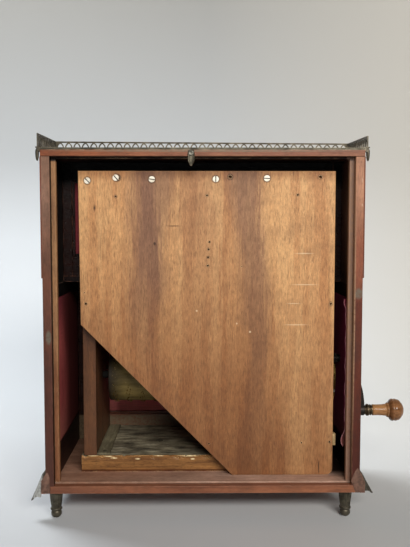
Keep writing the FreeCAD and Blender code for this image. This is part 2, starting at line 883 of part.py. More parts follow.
# Screws of the back board: place across, height and slot angle in degrees.
BOARD_SCREWS = (
    (-154.4, 453.5, 45.0),
    (-116.4, 457.4, 50.0),
    (-68.2, 455.3, 8.0),
    (17.4, 455.7, 90.0),
    (86.0, 456.7, 2.0),
)
# Bare nail and screw holes of the back board: place across, height and radius.
BOARD_HOLES = (
    (-111.3, 457.0, 1.3),
    (36.7, 458.4, 2.4),
    (157.8, 458.5, 2.2),
    (-116.6, 432.4, 1.3),
    (5.5, 433.8, 1.3),
    (127.5, 434.6, 1.3),
    (8.8, 371.5, 1.3),
    (7.8, 361.7, 1.3),
    (7.2, 350.9, 1.3),
    (6.6, 339.4, 1.3),
    (52.3, 338.4, 0.8),
    (-158.0, 288.1, 1.6),
    (173.5, 287.6, 1.6),
    (-160.1, 303.1, 0.8),
    (8.2, 94.7, 1.2),
    (135.5, 95.8, 1.2),
    (174.2, 96.7, 1.3),
)
SCREW_HEAD = 4.1
SCREW_SHANK = 2.1
SCREW_PROUD = 0.6
BUTTON_SHANK = 1.4
BUTTON_HEAD = 3.0
BUTTON_PILOT = 10.0
BUTTON_GAP = 0.1


def wood_screw(name, x, y, z, head, shank, sink, length, angle):
    """A slotted screw whose shank runs into the wood along y; its solid and its plain tool."""
    pieces = [
        rod(f"{name}_disc", ALONG_Y, head, SCREW_PROUD, x, y - SCREW_PROUD, z),
        taper(f"{name}_cone", ALONG_Y, head, shank, sink, x, y, z),
        rod(f"{name}_shank", ALONG_Y, shank, length - sink, x, y + sink, z),
    ]
    plain = join(f"{name}_plain", pieces)
    slot = doc.addObject("Part::Box", f"{name}_slot")
    slot_long = 2.4 * head
    slot_deep = 1.5
    slot_wide = 1.3
    beyond = 0.1
    tie(slot, Length=slot_long, Width=slot_deep, Height=slot_wide)
    angled = Rotation(Vector(0, 1, 0), angle)
    offset = angled.multVec(Vector(-slot_long / 2, 0, -slot_wide / 2))
    slot.Placement = Placement(Vector(), angled)
    place(slot, x + offset.x, y - SCREW_PROUD - beyond, z + offset.z)
    return cut(name, plain, [slot]), plain


def button_screw_parts():
    """The turn button's pivot screw: a slotted head over a plain shank."""
    seat = d.button_thick + 2 * BUTTON_GAP
    x = -d.button_place
    level = d.button_level
    shank = rod("button_shank", ALONG_Y, BUTTON_SHANK, seat + BUTTON_PILOT, x, -seat, level)
    head = rod("button_head", ALONG_Y, BUTTON_HEAD, d.button_screw - seat, x, -d.button_screw, level)
    beyond = 0.1
    slot_reach = BUTTON_HEAD + beyond
    slot_deep = 0.6
    slot_half = 0.4
    slot = block(
        "button_slot",
        (x - slot_reach, x + slot_reach),
        (-d.button_screw - beyond, slot_deep - d.button_screw),
        (level - slot_half, level + slot_half),
    )
    return cut("button_screw", join("button_screw_plain", [shank, head]), [slot])


def board_screws():
    """The back board's screws, and the plain tools that make their holes."""
    sink = 2.6
    length = 30.0
    pairs = [
        wood_screw(
            f"board_screw_{index}", x, d.board_back, z, SCREW_HEAD, SCREW_SHANK, sink, length, angle
        )
        for index, (x, z, angle) in enumerate(BOARD_SCREWS, start=1)
    ]
    return [screw for screw, _ in pairs], [plain for _, plain in pairs]


def back_board(screws, tools):
    """Back board with its cut corner, screws and old holes, and the wrest plank it is screwed to."""
    outline = [
        (-d.board_left, d.board_top),
        (d.board_lean - d.board_left, d.cut_high),
        (d.cut_low, d.board_bottom),
        (d.board_right, d.board_bottom),
        (d.board_right, d.board_top),
    ]
    plate = board("back_plate", "XZ_Plane", outline, d.board_back, d.chassis_back)
    near = 0.5
    right = float(d.board_right) - near
    low = float(d.board_bottom) + near
    rear = float(d.board_back) + near
    corner_round = 9.0
    rim_round = 1.0
    hole_deep = 6.0
    corner = eased(
        "back_plate_corner",
        plate,
        corner_round,
        lambda edge: edge.BoundBox.XMin > right and edge.BoundBox.ZMax < low,
    )
    rim = eased("back_plate_eased", corner, rim_round, lambda edge: edge.BoundBox.YMax < rear)
    holes = [
        rod(f"board_hole_{index}", ALONG_Y, radius, hole_deep, x, d.board_back, z)
        for index, (x, z, radius) in enumerate(BOARD_HOLES, start=1)
    ]
    subpart("back_board", cut("back_plate_drilled", rim, tools + holes))
    subpart("slotted_screws", gather("screws", screws + [button_screw_parts()]))
    plank = block("plank", BETWEEN, (d.chassis_back, d.plank_front), (d.plank_low, d.cheek_top))
    pins = tuning_pin_set()
    drilled = cut("plank_drilled", eased("plank_eased", plank, 1.0), tools + pins)
    subpart("wrest_plank", drilled)
    subpart("tuning_pins", gather("tuning_pin_group", pins))


# Tuning pins: length, where they start, and the heights of their two rows.
TUNING_LONG = 26.0
TUNING_START = 60.0
TUNING_LOW = 426.0
TUNING_HIGH = 443.0
# Hitch pins: length and where they start.
HITCH_LONG = 17.0
HITCH_START = 62.0


def string_places():
    """Each string: its name, its place across and the side its pins stand on."""
    half_pair = 2.2
    for note in range(NOTES):
        middle = d.note_first + d.note_pitch * note
        yield f"string_{note + 1}_left", middle - half_pair, -1
        yield f"string_{note + 1}_right", middle + half_pair, 1


def tuning_level(side):
    """The two rows of tuning pins: the left strings' row is the lower one."""
    return TUNING_LOW if side < 0 else TUNING_HIGH


def hitch_level(x, side):
    """Height of a string's hitch pin, on the slanting rail or on its level foot."""
    lift = 15.0 if side < 0 else 21.0
    above_floor = lift - 3.0
    foot = CHASSIS_FLOOR + above_floor
    slanting = cut_line(x, lift)
    return slanting if float(slanting) > float(foot) else foot


def tuning_pin_set():
    """Tuning pins, each touching its string."""
    pins = []
    for name, x, side in string_places():
        offset = (d.tuning_radius + d.string_radius) * side
        level = tuning_level(side)
        pin = rod(f"{name}_tuning", ALONG_Y, d.tuning_radius, TUNING_LONG, x + offset, TUNING_START, level)
        pins.append(pin)
    return pins


def string_frame():
    """Hitch rail, hitch pins, soundboard, bridge, nut and strings."""
    rail_low = 2.0
    rail_high = 34.0
    foot = CHASSIS_FLOOR
    foot_top = CHASSIS_FLOOR + 32.0
    outline = [
        (-LEFT_INNER, cut_line(-LEFT_INNER, rail_low)),
        (cut_place(foot, rail_low), foot),
        (RIGHT_INNER, foot),
        (RIGHT_INNER, foot_top),
        (cut_place(foot_top, rail_high), foot_top),
        (-LEFT_INNER, cut_line(-LEFT_INNER, rail_high)),
    ]
    rail = board("hitch_plate", "XZ_Plane", outline, d.chassis_back, d.plank_front)
    pins = []
    strings = []
    for name, x, side in string_places():
        offset = (d.hitch_radius + d.string_radius) * side
        low = hitch_level(x, side)
        pins.append(rod(f"{name}_hitch", ALONG_Y, d.hitch_radius, HITCH_LONG, x + offset, HITCH_START, low))
        strings.append(
            rod(name, ALONG_Z, d.string_radius, tuning_level(side) - low, x, d.string_plane, low)
        )
    subpart("hitch_rail", cut("hitch_plate_drilled", rail, pins))
    subpart("hitch_pins", gather("hitch_pin_group", pins))
    subpart("strings", gather("string_group", strings))
    panel = [
        (-LEFT_INNER, cut_line(-LEFT_INNER, rail_high)),
        (cut_place(foot_top, rail_high), foot_top),
        (RIGHT_INNER, foot_top),
        (RIGHT_INNER, d.plank_low),
        (-LEFT_INNER, d.plank_low),
    ]
    panel_rear = 62.0
    panel_front = 66.0
    subpart("soundboard", board("sound_panel", "XZ_Plane", panel, panel_rear, panel_front))
    inset = 3.0
    lift = 46.0
    thick = 11.0
    level = foot_top + 14.0
    curve = [
        (inset - LEFT_INNER, cut_line(inset - LEFT_INNER, lift)),
        (cut_place(level, lift), level),
        (RIGHT_INNER - inset, level),
        (RIGHT_INNER - inset, level + thick),
        (cut_place(level + thick, lift + thick), level + thick),
        (inset - LEFT_INNER, cut_line(inset - LEFT_INNER, lift + thick)),
    ]
    under_strings = d.string_plane - d.string_radius
    bridge = board("bridge", "XZ_Plane", curve, panel_front, under_strings)
    nut_low = d.plank_low + 5.0
    nut_high = nut_low + 4.0
    nut = block(
        "nut",
        (inset - LEFT_INNER, RIGHT_INNER - inset),
        (d.plank_front, under_strings),
        (nut_low, nut_high),
    )
    subpart("string_bridge", gather("bridge_and_nut", [bridge, nut]))


def chassis(cheek_screw):
    """Movement floor, its two cheeks and the batten that lies along the left one."""
    floor = block(
        "movement_floor",
        (-d.floor_left, d.floor_right),
        (d.chassis_back, d.floor_front),
        (LINED, CHASSIS_FLOOR),
    )
    subpart("chassis_floor", eased("movement_floor_eased", floor, 1.0))
    # the cheek is deep beside the barrel and hammers, and narrow above them
    slope = ((d.floor_front, 230.0), (165.0, 300.0), (d.cheek_upper, 310.0))
    outline = [
        (d.chassis_back, CHASSIS_FLOOR),
        (d.floor_front, CHASSIS_FLOOR),
        *slope,
        (d.cheek_upper, d.cheek_top),
        (d.chassis_back, d.cheek_top),
    ]
    near_rear = float(d.chassis_back) + 0.1
    for label, side in SIDES:
        outside = d.cheek_left if side < 0 else d.cheek_right
        across = either_side(side, outside - d.cheek_thick, outside)
        cheek = board(f"{label}_cheek_board", "YZ_Plane", outline, across[0], across[1])
        cheek = eased(
            f"{label}_cheek_eased", cheek, SOFT_EDGE, lambda edge: edge.BoundBox.YMax < near_rear
        )
        arbor_hole = rod(
            f"{label}_arbor_hole",
            ALONG_X,
            d.arbor_radius + d.running_gap,
            d.cheek_thick,
            across[0],
            d.barrel_depth,
            d.barrel_level,
        )
        holes = [arbor_hole]
        if side < 0:
            holes.append(cheek_screw)
            other = rod(
                "guide_hole",
                ALONG_X,
                GUIDE_RADIUS + d.running_gap,
                d.cheek_thick,
                across[0],
                GUIDE_DEPTH,
                d.barrel_level,
            )
        else:
            other = rod(
                "journal_hole",
                ALONG_X,
                JOURNAL_RADIUS + d.running_gap,
                d.cheek_thick,
                across[0],
                d.crank_depth,
                d.crank_level,
            )
        holes.append(other)
        subpart(f"chassis_{label}_cheek", cut(f"{label}_cheek_bored", cheek, holes))
    batten_wide = 18.0
    batten_thick = 3.0
    rear_inset = 2.0
    front_inset = 4.0
    nail_radius = 2.2
    nail_depth = 70.0
    nail_across = 8.5
    batten = block(
        "batten",
        (-LEFT_INNER, batten_wide - LEFT_INNER),
        (d.chassis_back + rear_inset, d.floor_front - front_inset),
        (CHASSIS_FLOOR, CHASSIS_FLOOR + batten_thick),
    )
    across = nail_across - LEFT_INNER
    hole = rod("batten_hole", ALONG_Z, nail_radius, batten_thick, across, nail_depth, CHASSIS_FLOOR)
    subpart("floor_batten", cut("batten_drilled", eased("batten_eased", batten, SOFT_EDGE), [hole]))


GUIDE_RADIUS = 2.5
GUIDE_DEPTH = 180.0
JOURNAL_RADIUS = 4.0
GROOVE_RADIUS = 3.6
GROOVE = (-172.5, -169.5)
PINION = (179.5, 193.5)
TIP_FACTOR = 0.8


def gear(teeth, tip_factor, phase, turn_out):
    """A flat involute gear in the YZ plane; tooth number 0 points along the phase angle."""
    module = float(d.module_size)
    pressure = math.radians(25)
    backlash = 0.14
    root_factor = 1.05
    pitch = module * teeth / 2
    base = pitch * math.cos(pressure)
    tip = pitch + tip_factor * module
    root = pitch - root_factor * module
    half_at_pitch = (math.pi * module / 2 - backlash) / (2 * pitch)
    involute = math.tan(pressure) - pressure

    def flank_angle(radius):
        """Half the tooth's angle at a radius; below the base circle its sides are straight."""
        if radius <= base:
            return half_at_pitch + involute
        steep = math.acos(base / radius)
        return half_at_pitch + involute - (math.tan(steep) - steep)

    def at(radius, angle):
        """A point at a radius and an angle."""
        return Vector(0, radius * math.cos(angle), radius * math.sin(angle))

    low = max(root, base)
    middle = (low + tip) / 2
    step = 2 * math.pi / teeth
    edges = []
    for tooth in range(teeth):
        centre = phase + tooth * step
        following = centre + step
        wide = flank_angle(low)
        bend = flank_angle(middle)
        narrow = flank_angle(tip)
        rising = [at(low, centre - wide), at(middle, centre - bend), at(tip, centre - narrow)]
        crest = [rising[2], at(tip, centre), at(tip, centre + narrow)]
        falling = [crest[2], at(middle, centre + bend), at(low, centre + wide)]
        valley = [at(root, centre + wide), at(root, centre + step / 2), at(root, following - wide)]
        if root < low:
            edges.append(Part.LineSegment(at(root, centre - wide), rising[0]).toShape())
        edges += [Part.Arc(*points).toShape() for points in (rising, crest, falling)]
        if root < low:
            edges.append(Part.LineSegment(falling[2], valley[0]).toShape())
        edges.append(Part.Arc(*valley).toShape())
    return Part.Face(Part.Wire(edges)).extrude(Vector(turn_out, 0, 0))


def barrel_set():
    """Barrel, its pins, its arbor and its wheel: they turn and shift together."""
    depth = d.barrel_depth
    level = d.barrel_level
    length = d.barrel_left + d.barrel_right
    bevel = 1.0
    radius = d.barrel_radius
    profile = [
        (d.arbor_radius, 0),
        (radius - bevel, 0),
        (radius, bevel),
        (radius, length - bevel),
        (radius - bevel, length),
        (d.arbor_radius, length),
    ]
    subpart("barrel", turned("barrel_body", ALONG_X, profile, -d.barrel_left, depth, level))
    subpart("barrel_pins", shaped("barrel_pin_group", barrel_pins()))
    left_end = 176.0
    right_end = 195.0
    arbor = d.arbor_radius
    end_bevel = 0.8
    profile = [
        (0, 0),
        (arbor - end_bevel, 0),
        (arbor, end_bevel),
        (arbor, left_end + GROOVE[0]),
        (GROOVE_RADIUS, left_end + GROOVE[0]),
        (GROOVE_RADIUS, left_end + GROOVE[1]),
        (arbor, left_end + GROOVE[1]),
        (arbor, left_end + right_end - end_bevel),
        (arbor - end_bevel, left_end + right_end),
        (0, left_end + right_end),
    ]
    subpart("barrel_arbor", turned("arbor_body", ALONG_X, profile, -left_end, depth, level))
    towards_pinion = math.atan2(float(d.crank_level - level), float(d.crank_depth - depth))
    half_tooth = math.pi / WHEEL_TEETH
    wheel = gear(WHEEL_TEETH, TIP_FACTOR, towards_pinion + half_tooth, float(d.wheel_thick))
    through = 20.0
    along = Vector(1, 0, 0)
    wheel = wheel.cut(Part.makeCylinder(float(d.arbor_radius), through, Vector(), along))
    spokes = 5
    rim = 34.5
    hub = 11.0
    spoke = 7.0
    ring = Part.makeCylinder(rim, through, Vector(), along)
    ring = ring.cut(Part.makeCylinder(hub, through, Vector(), along))
    for index in range(spokes):
        arm = Part.makeBox(through, spoke, rim + 2.0, Vector(0, -spoke / 2, 0))
        arm.rotate(Vector(), along, 360.0 * index / spokes)
        ring = ring.cut(arm)
    wheel = wheel.cut(ring)
    item = shaped("wheel_body", wheel)
    place(item, d.wheel_start, depth, level)
    subpart("barrel_wheel", item)


def barrel_pins():
    """Rows of pins round the barrel, one row of groups for each note, sunk a millimetre."""
    sunk = 1.0
    pin_radius = 0.65
    groups = 9
    pins = []
    for note in range(NOTES):
        across = float(d.note_first) + float(d.note_pitch) * note
        for group in range(groups):
            # each pin's turn and sideways place follow a steady pattern that never lines up
            turn = group + 0.618 * note + 0.13 * ((group * (note + 3)) % 5)
            angle = 360.0 * (turn / groups % 1.0)
            sideways = ((group * 5 + note * 3) % 7) - 3.0
            start = float(d.barrel_radius) - sunk
            pin = Part.makeCylinder(
                pin_radius, sunk + float(d.pin_high), Vector(across + sideways, start, 0), Vector(0, 1, 0)
            )
            pin.rotate(Vector(), Vector(1, 0, 0), angle)
            pins.append(pin)
    group_shape = Part.makeCompound(pins)
    group_shape.translate(Vector(0, float(d.barrel_depth), float(d.barrel_level)))
    return group_shape


def tune_selector():
    """Fork in the arbor's groove, with a guide rod through the cheek and a finger knob."""
    side_play = 0.1
    plate_x = (GROOVE[0] + side_play, GROOVE[1] - side_play)
    half = 10.0
    slot = GROOVE_RADIUS + d.running_gap
    prong = 9.0
    beyond = 1.0
    plate_end = 8.0
    fork_start = d.barrel_depth - prong
    plate = block(
        "fork_plate",
        plate_x,
        (fork_start, GUIDE_DEPTH + plate_end),
        (d.barrel_level - half, d.barrel_level + half),
    )
    opening = block(
        "fork_slot",
        plate_x,
        (fork_start - beyond, d.barrel_depth + slot),
        (d.barrel_level - slot, d.barrel_level + slot),
    )
    fork = cut("fork", plate, [opening])
    guide_long = 24.0
    knob_long = 11.0
    knob_radius = 5.0
    level = d.barrel_level
    guide = rod("guide_rod", ALONG_X, GUIDE_RADIUS, guide_long, plate_x[1], GUIDE_DEPTH, level)
    knob = rod("selector_knob", ALONG_X, knob_radius, knob_long, plate_x[0] - knob_long, GUIDE_DEPTH, level)
    subpart("tune_selector", join("selector", [fork, guide, knob]))


def crank():
    """Crank bush, shaft with its pinion, arm, grip pin, wooden grip and ferrule."""
    depth = d.crank_depth
    level = d.crank_level
    flange = 2.0
    flange_radius = 12.0
    bevel = 0.6
    profile = [
        (d.shaft_radius + d.running_gap, 0),
        (SHAFT_HOLE, 0),
        (SHAFT_HOLE, d.wall),
        (flange_radius, d.wall),
        (flange_radius, d.wall + flange - bevel),
        (flange_radius - bevel, d.wall + flange),
        (d.shaft_radius + d.running_gap, d.wall + flange),
    ]
    subpart("crank_bush", turned("bush_body", ALONG_X, profile, INSIDE, depth, level))
    start = 162.0
    end = 223.0
    profile = [
        (0, 0),
        (JOURNAL_RADIUS - bevel, 0),
        (JOURNAL_RADIUS, bevel),
        (JOURNAL_RADIUS, PINION[0] - start),
        (d.shaft_radius, PINION[0] - start),
        (d.shaft_radius, end - start - bevel),
        (d.shaft_radius - bevel, end - start),
        (0, end - start),
    ]
    shaft = turned("shaft_body", ALONG_X, profile, start, depth, level)
    towards_wheel = math.atan2(float(d.barrel_level - level), float(d.barrel_depth - depth))
    pinion = shaped("pinion_body", gear(PINION_TEETH, TIP_FACTOR, towards_wheel, PINION[1] - PINION[0]))
    place(pinion, PINION[0], depth, level)
    subpart("crank_shaft", join("shaft_and_pinion", [shaft, pinion]))
    arm = shaped("arm_body", crank_arm())
    place(arm, 0, depth, level)
    subpart("crank_arm", arm)
    grip_level = level - d.crank_radius
    boss_inner = 227.0
    head_sunk = 2.0
    head_thick = 1.4
    head_radius = d.pin_radius + 1.4
    pin_end = d.grip_reach - head_sunk
    pin = rod("pin_body", ALONG_X, d.pin_radius, pin_end - boss_inner, boss_inner, depth, grip_level)
    head = rod("pin_head", ALONG_X, head_radius, head_thick, pin_end - head_thick, depth, grip_level)
    subpart("grip_pin", join("pin_and_head", [pin, head]))
    bore = d.pin_radius + d.running_gap
    ferrule_long = 12.0
    ferrule_wall = 2.5
    spigot = 5.6
    recess = 4.0
    recess_radius = head_radius + 0.4
    whole = d.grip_reach - d.grip_start
    profile = [
        (bore, ferrule_wall),
        (spigot, ferrule_wall),
        (spigot, ferrule_long),
        (d.grip_radius - 0.2, ferrule_long),
        (d.grip_radius + 0.3, ferrule_long + 1.4, -0.5),
        (d.grip_radius - 0.1, 34.4),
        (d.grip_radius + 0.9, 36.2, 0.6),
        (d.grip_radius + 0.4, 38.6),
        (d.grip_radius + 1.8, 39.2, 1.2),
        (d.knob_radius, 46.6, 1.9),
        (d.knob_radius - 7.4, whole - 0.9, 0.2),
        (d.knob_radius - 10.0, whole),
        (recess_radius, whole),
        (recess_radius, whole - recess),
        (bore, whole - recess),
    ]
    subpart("crank_grip", turned("grip_body", ALONG_X, profile, d.grip_start, depth, grip_level))
    profile = [
        (bore, 0),
        (6.2, 0),
        (7.1, 0.8),
        (7.2, 7.4),
        (8.0, 7.8, 0.5),
        (8.0, 9.8),
        (7.3, 10.2),
        (7.3, ferrule_long),
        (spigot, ferrule_long),
        (spigot, ferrule_wall),
        (bore, ferrule_wall),
    ]
    subpart("grip_ferrule", turned("ferrule_body", ALONG_X, profile, d.grip_start, depth, grip_level))


def crank_arm():
    """A flat forged arm that curves outward on its way down, about the shaft's axis."""
    radius = float(d.crank_radius)
    thick = 6.0
    hub_radius = 9.5
    boss_radius = 8.0
    hub = (212.5, 221.5)
    boss = (227.0, 233.0)
    inner_end = 190.0
    reach = 60.0
    end = -radius - 9.0
    curve = [(217.0, 8.0), (217.2, -8.0), (220.4, -24.0), (226.0, -40.0), (229.4, -56.0), (230.0, end)]
    inner = Part.BSplineCurve()
    inner.interpolate([Vector(x - thick / 2, 0, z) for x, z in curve])
    outer = Part.BSplineCurve()
    outer.interpolate([Vector(x + thick / 2, 0, z) for x, z in curve])
    ends = [
        Part.LineSegment(inner.value(inner.LastParameter), outer.value(outer.LastParameter)).toShape(),
        Part.LineSegment(outer.value(outer.FirstParameter), inner.value(inner.FirstParameter)).toShape(),
    ]
    profile = Part.Face(Part.Wire([inner.toShape(), ends[0], outer.toShape(), ends[1]]))
    stock = 40.0
    bar = profile.extrude(Vector(0, stock, 0))
    bar.translate(Vector(0, -stock / 2, 0))
    along = Vector(1, 0, 0)
    shaft_place = Vector(inner_end, 0, 0)
    pin_place = Vector(inner_end, 0, -radius)
    outline = Part.makeCylinder(hub_radius, reach, shaft_place, along)
    outline = outline.fuse(Part.makeCylinder(boss_radius, reach, pin_place, along))
    half_high = 7.5
    half_low = 5.8
    corners = [(-half_high, 0), (half_high, 0), (half_low, -radius), (-half_low, -radius), (-half_high, 0)]
    web = Part.makePolygon([Vector(inner_end, y, z) for y, z in corners])
    outline = outline.fuse(Part.Face(web).extrude(Vector(reach, 0, 0)))
    arm = bar.common(outline)
    arm = arm.fuse(Part.makeCylinder(hub_radius, hub[1] - hub[0], Vector(hub[0], 0, 0), along))
    arm = arm.fuse(Part.makeCylinder(boss_radius, boss[1] - boss[0], Vector(boss[0], 0, -radius), along))
    arm = arm.removeSplitter()
    arm = arm.cut(Part.makeCylinder(float(d.shaft_radius), reach, shaft_place, along))
    return arm.cut(Part.makeCylinder(float(d.pin_radius), reach, pin_place, along))


def hammers():
    """Hammer rail with a slot for each hammer, its axle, and the hammers themselves."""
    rail_front = d.hammer_depth + 28.0
    comb_rear = d.hammer_depth - 8.0
    slot_front = d.hammer_depth + 10.0
    half_high = 10.0
    slot_half = 2.8
    beyond = 1.0
    level = d.hammer_level
    rail = block("rail_body", BETWEEN, (comb_rear, rail_front), (level - half_high, level + half_high))
    width = RIGHT_INNER + LEFT_INNER
    tools = [rod("axle_hole", ALONG_X, d.axle_radius, width, -LEFT_INNER, d.hammer_depth, level)]
    for note in range(NOTES):
        middle = d.note_first + d.note_pitch * note
        tools.append(
            block(
                f"rail_slot_{note + 1}",
                (middle - slot_half, middle + slot_half),
                (comb_rear - beyond, slot_front),
                (level - half_high - beyond, level + half_high + beyond),
            )
        )
        subpart(f"hammer_{note + 1:02d}", hammer(f"hammer_body_{note + 1}", middle))
    subpart("hammer_rail", cut("rail_slotted", rail, tools))
    axle = rod("axle_body", ALONG_X, d.axle_radius, width, -LEFT_INNER, d.hammer_depth, level)
    subpart("hammer_axle", axle)


def hammer(name, middle):
    """One hammer: butt, shank, head with a round nose, toe towards the barrel and spring wire."""
    depth = d.hammer_depth
    level = d.hammer_level
    half = 2.4
    head_half = 3.5
    butt_reach = 6.0
    butt_half = 11.0
    butt = block(
        f"{name}_butt",
        (middle - half, middle + half),
        (depth - butt_reach, depth + butt_reach),
        (level - butt_half, level + butt_half),
    )
    # the shank leans back towards the strings and ends inside the head
    lean = Rotation(Vector(1, 0, 0), 38.2)
    shank_radius = 1.7
    shank_long = 42.0
    shank_start = (depth - 2.0, level + 8.0)
    shank = rod(f"{name}_shank", lean, shank_radius, shank_long, middle, *shank_start)
    nose_radius = 5.5
    head_low = level + 36.0
    nose_place = depth - 33.3
    head_front = depth - 22.0
    head = block(
        f"{name}_head",
        (middle - head_half, middle + head_half),
        (nose_place, head_front),
        (head_low, head_low + 2 * nose_radius),
    )
    across = middle - head_half
    nose_level = head_low + nose_radius
    nose = rod(f"{name}_nose", ALONG_X, nose_radius, 2 * head_half, across, nose_place, nose_level)
    toe_radius = 1.0
    toe_long = 27.5
    toe_low = level - 36.9
    toe = rod(f"{name}_toe", ALONG_Z, toe_radius, toe_long, middle, depth, toe_low)
    wire_lean = Rotation(Vector(1, 0, 0), -61.8)
    wire_radius = 0.45
    wire_long = 16.0
    wire_start = (depth + 4.0, level + 10.3)
    wire = rod(f"{name}_wire", wire_lean, wire_radius, wire_long, middle, *wire_start)
    bore = rod(
        f"{name}_bore", ALONG_X, d.axle_radius + d.running_gap, 2 * half, middle - half, depth, level
    )
    return cut(name, join(f"{name}_solid", [butt, shank, head, nose, toe, wire]), [bore])


def turn_button():
    """Leaf-shaped turn button on the middle of the top rail."""
    half = 4.6
    x = -d.button_place
    level = d.button_level
    outline = [
        (x, level + 3.6, -1.6),
        (x + half, level - 2.0, -1.3),
        (x + 1.0, level - 15.4),
        (x - 0.2, level - 16.8),
        (x - 1.2, level - 15.2, -1.3),
        (x - half, level - 2.0, -1.6),
    ]
    back = -d.button_thick - BUTTON_GAP
    leaf = board("button_leaf", "XZ_Plane", outline, back, -BUTTON_GAP)
    hole = rod(
        "button_hole",
        ALONG_Y,
        BUTTON_SHANK + d.running_gap,
        d.button_thick,
        x,
        back,
        level,
    )
    subpart("turn_button", cut("button_bored", leaf, [hole]))


def check_and_write():
    """Stop on any failed object or bad shape, then write one file for each sub-part."""
    doc.recompute()
    for item in doc.Objects:
        if "Invalid" in item.State or "Error" in item.State:
            raise RuntimeError(f"{item.Name} failed to compute: {item.State}")
    for item in subparts:
        if item.Shape.isNull() or not item.Shape.isValid():
            raise RuntimeError(f"{item.Label} has no valid shape")
    os.makedirs("parts", exist_ok=True)
    for item in subparts:
        item.Shape.exportStep(f"parts/{item.Label}.step")
    whole = Part.makeCompound([item.Shape for item in subparts]).BoundBox
    print(f"{len(subparts)} sub-parts")
    print(f"x {whole.XMin:.2f} to {whole.XMax:.2f}")
    print(f"y {whole.YMin:.2f} to {whole.YMax:.2f}")
    print(f"z {whole.ZMin:.2f} to {whole.ZMax:.2f}")


side_frames()
top_and_ledge()
fronts_and_silk()
plinth()
gallery()
mounts_and_feet()
back_screws, screw_holes = board_screws()
chassis(screw_holes[0])
back_board(back_screws, screw_holes)
string_frame()
barrel_set()
tune_selector()
crank()
hammers()
turn_button()
check_and_write()
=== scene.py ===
import math
import random

import bmesh
import bpy
from mathutils import Matrix, Vector, noise


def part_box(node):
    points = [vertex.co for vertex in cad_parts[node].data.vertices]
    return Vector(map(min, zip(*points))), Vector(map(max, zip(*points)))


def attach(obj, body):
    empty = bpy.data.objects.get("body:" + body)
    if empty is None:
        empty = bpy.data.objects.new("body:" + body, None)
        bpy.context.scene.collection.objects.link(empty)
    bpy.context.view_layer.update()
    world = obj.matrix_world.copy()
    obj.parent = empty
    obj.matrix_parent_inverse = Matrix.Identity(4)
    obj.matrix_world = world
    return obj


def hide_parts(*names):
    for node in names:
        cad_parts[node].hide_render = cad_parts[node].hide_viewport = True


# A table-top barrel piano seen from its open back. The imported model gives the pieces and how
# they move; this script gives them surfaces, and the bronze, silk and rough boards finer shapes.

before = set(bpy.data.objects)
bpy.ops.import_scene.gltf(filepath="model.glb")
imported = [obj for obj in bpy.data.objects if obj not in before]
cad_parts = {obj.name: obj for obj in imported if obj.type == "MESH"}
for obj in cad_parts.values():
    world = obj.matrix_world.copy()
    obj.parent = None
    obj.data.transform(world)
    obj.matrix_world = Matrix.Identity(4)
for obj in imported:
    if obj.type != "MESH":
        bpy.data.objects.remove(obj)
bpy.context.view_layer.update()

MM = 0.001
# The cabinet's own millimetres start at its middle, its open back and the floor.
CABINET = Vector((-29.75, -108.45, 0))


def at(across, depth, height):
    """A point given in the cabinet's millimetres, in metres in the model's frame."""
    return (Vector((across, depth, height)) + CABINET) * MM


def put(name, data):
    """A new object in the scene."""
    made = bpy.data.objects.new(name, data)
    bpy.context.scene.collection.objects.link(made)
    return made


def settled(name, mesh):
    """A bmesh's shape as a mesh of Blender's own; the bmesh is freed."""
    data = bpy.data.meshes.new(name)
    mesh.to_mesh(data)
    mesh.free()
    return data


# Camera, floor and light

# The focal length and the picture's height are in pixels of the photograph.
CAMERA_FOCAL = 700.0
PICTURE_HEIGHT = 547.0
SENSOR = 36.0
CAMERA_PITCH = math.radians(3.80)
CAMERA_YAW = math.radians(0.653)
CAMERA_PLACE = at(-7.78, -910, 391.63)


def set_camera():
    """The photograph's viewpoint: level with the upper part, close to straight on."""
    lens = bpy.data.cameras.new("camera")
    lens.sensor_fit = "VERTICAL"
    lens.sensor_height = SENSOR
    lens.lens = CAMERA_FOCAL / PICTURE_HEIGHT * SENSOR
    lens.clip_end = 50.0
    camera = put("camera", lens)
    camera.location = CAMERA_PLACE
    camera.rotation_euler = (math.pi / 2 - CAMERA_PITCH, 0.0, -CAMERA_YAW)
    bpy.context.scene.camera = camera


def linear(code):
    """An sRGB hex colour as linear red, green, blue and alpha."""
    parts = [int(code[i : i + 2], 16) / 255 for i in (0, 2, 4)]
    return [c / 12.92 if c <= 0.04045 else ((c + 0.055) / 1.055) ** 2.4 for c in parts] + [1.0]


def add(tree, kind, inputs=None, stops=None, **settings):
    """Add one shader node with its settings, its inputs as values or links, and a ramp's stops."""
    made = tree.nodes.new("ShaderNode" + kind)
    for name, value in settings.items():
        setattr(made, name, value)
    for name, value in (inputs or {}).items():
        socket = made.inputs[name]
        if isinstance(value, bpy.types.NodeSocket):
            tree.links.new(value, socket)
        else:
            socket.default_value = value
    for index, (position, colour) in enumerate(stops or []):
        elements = made.color_ramp.elements
        element = elements[index] if index < 2 else elements.new(position)
        element.position = position
        element.color = colour
    return made


def area_light(name, place, target, size, power, colour):
    """A soft rectangular light that faces a target."""
    lamp = bpy.data.lights.new(name, "AREA")
    lamp.shape = "RECTANGLE"
    lamp.size, lamp.size_y = size
    lamp.energy = power
    lamp.color = linear(colour)[:3]
    made = put(name, lamp)
    made.location = place
    made.rotation_euler = (Vector(target) - Vector(place)).to_track_quat("-Z", "Y").to_euler()


# The paper, in metres: flat from its front edge to the bend, then up to the wall's top.
PAPER_FRONT = -4.0
PAPER_HALF_WIDTH = 4.0
BEND_START = 0.55
BEND_RADIUS = 0.6
WALL_TOP = 3.5


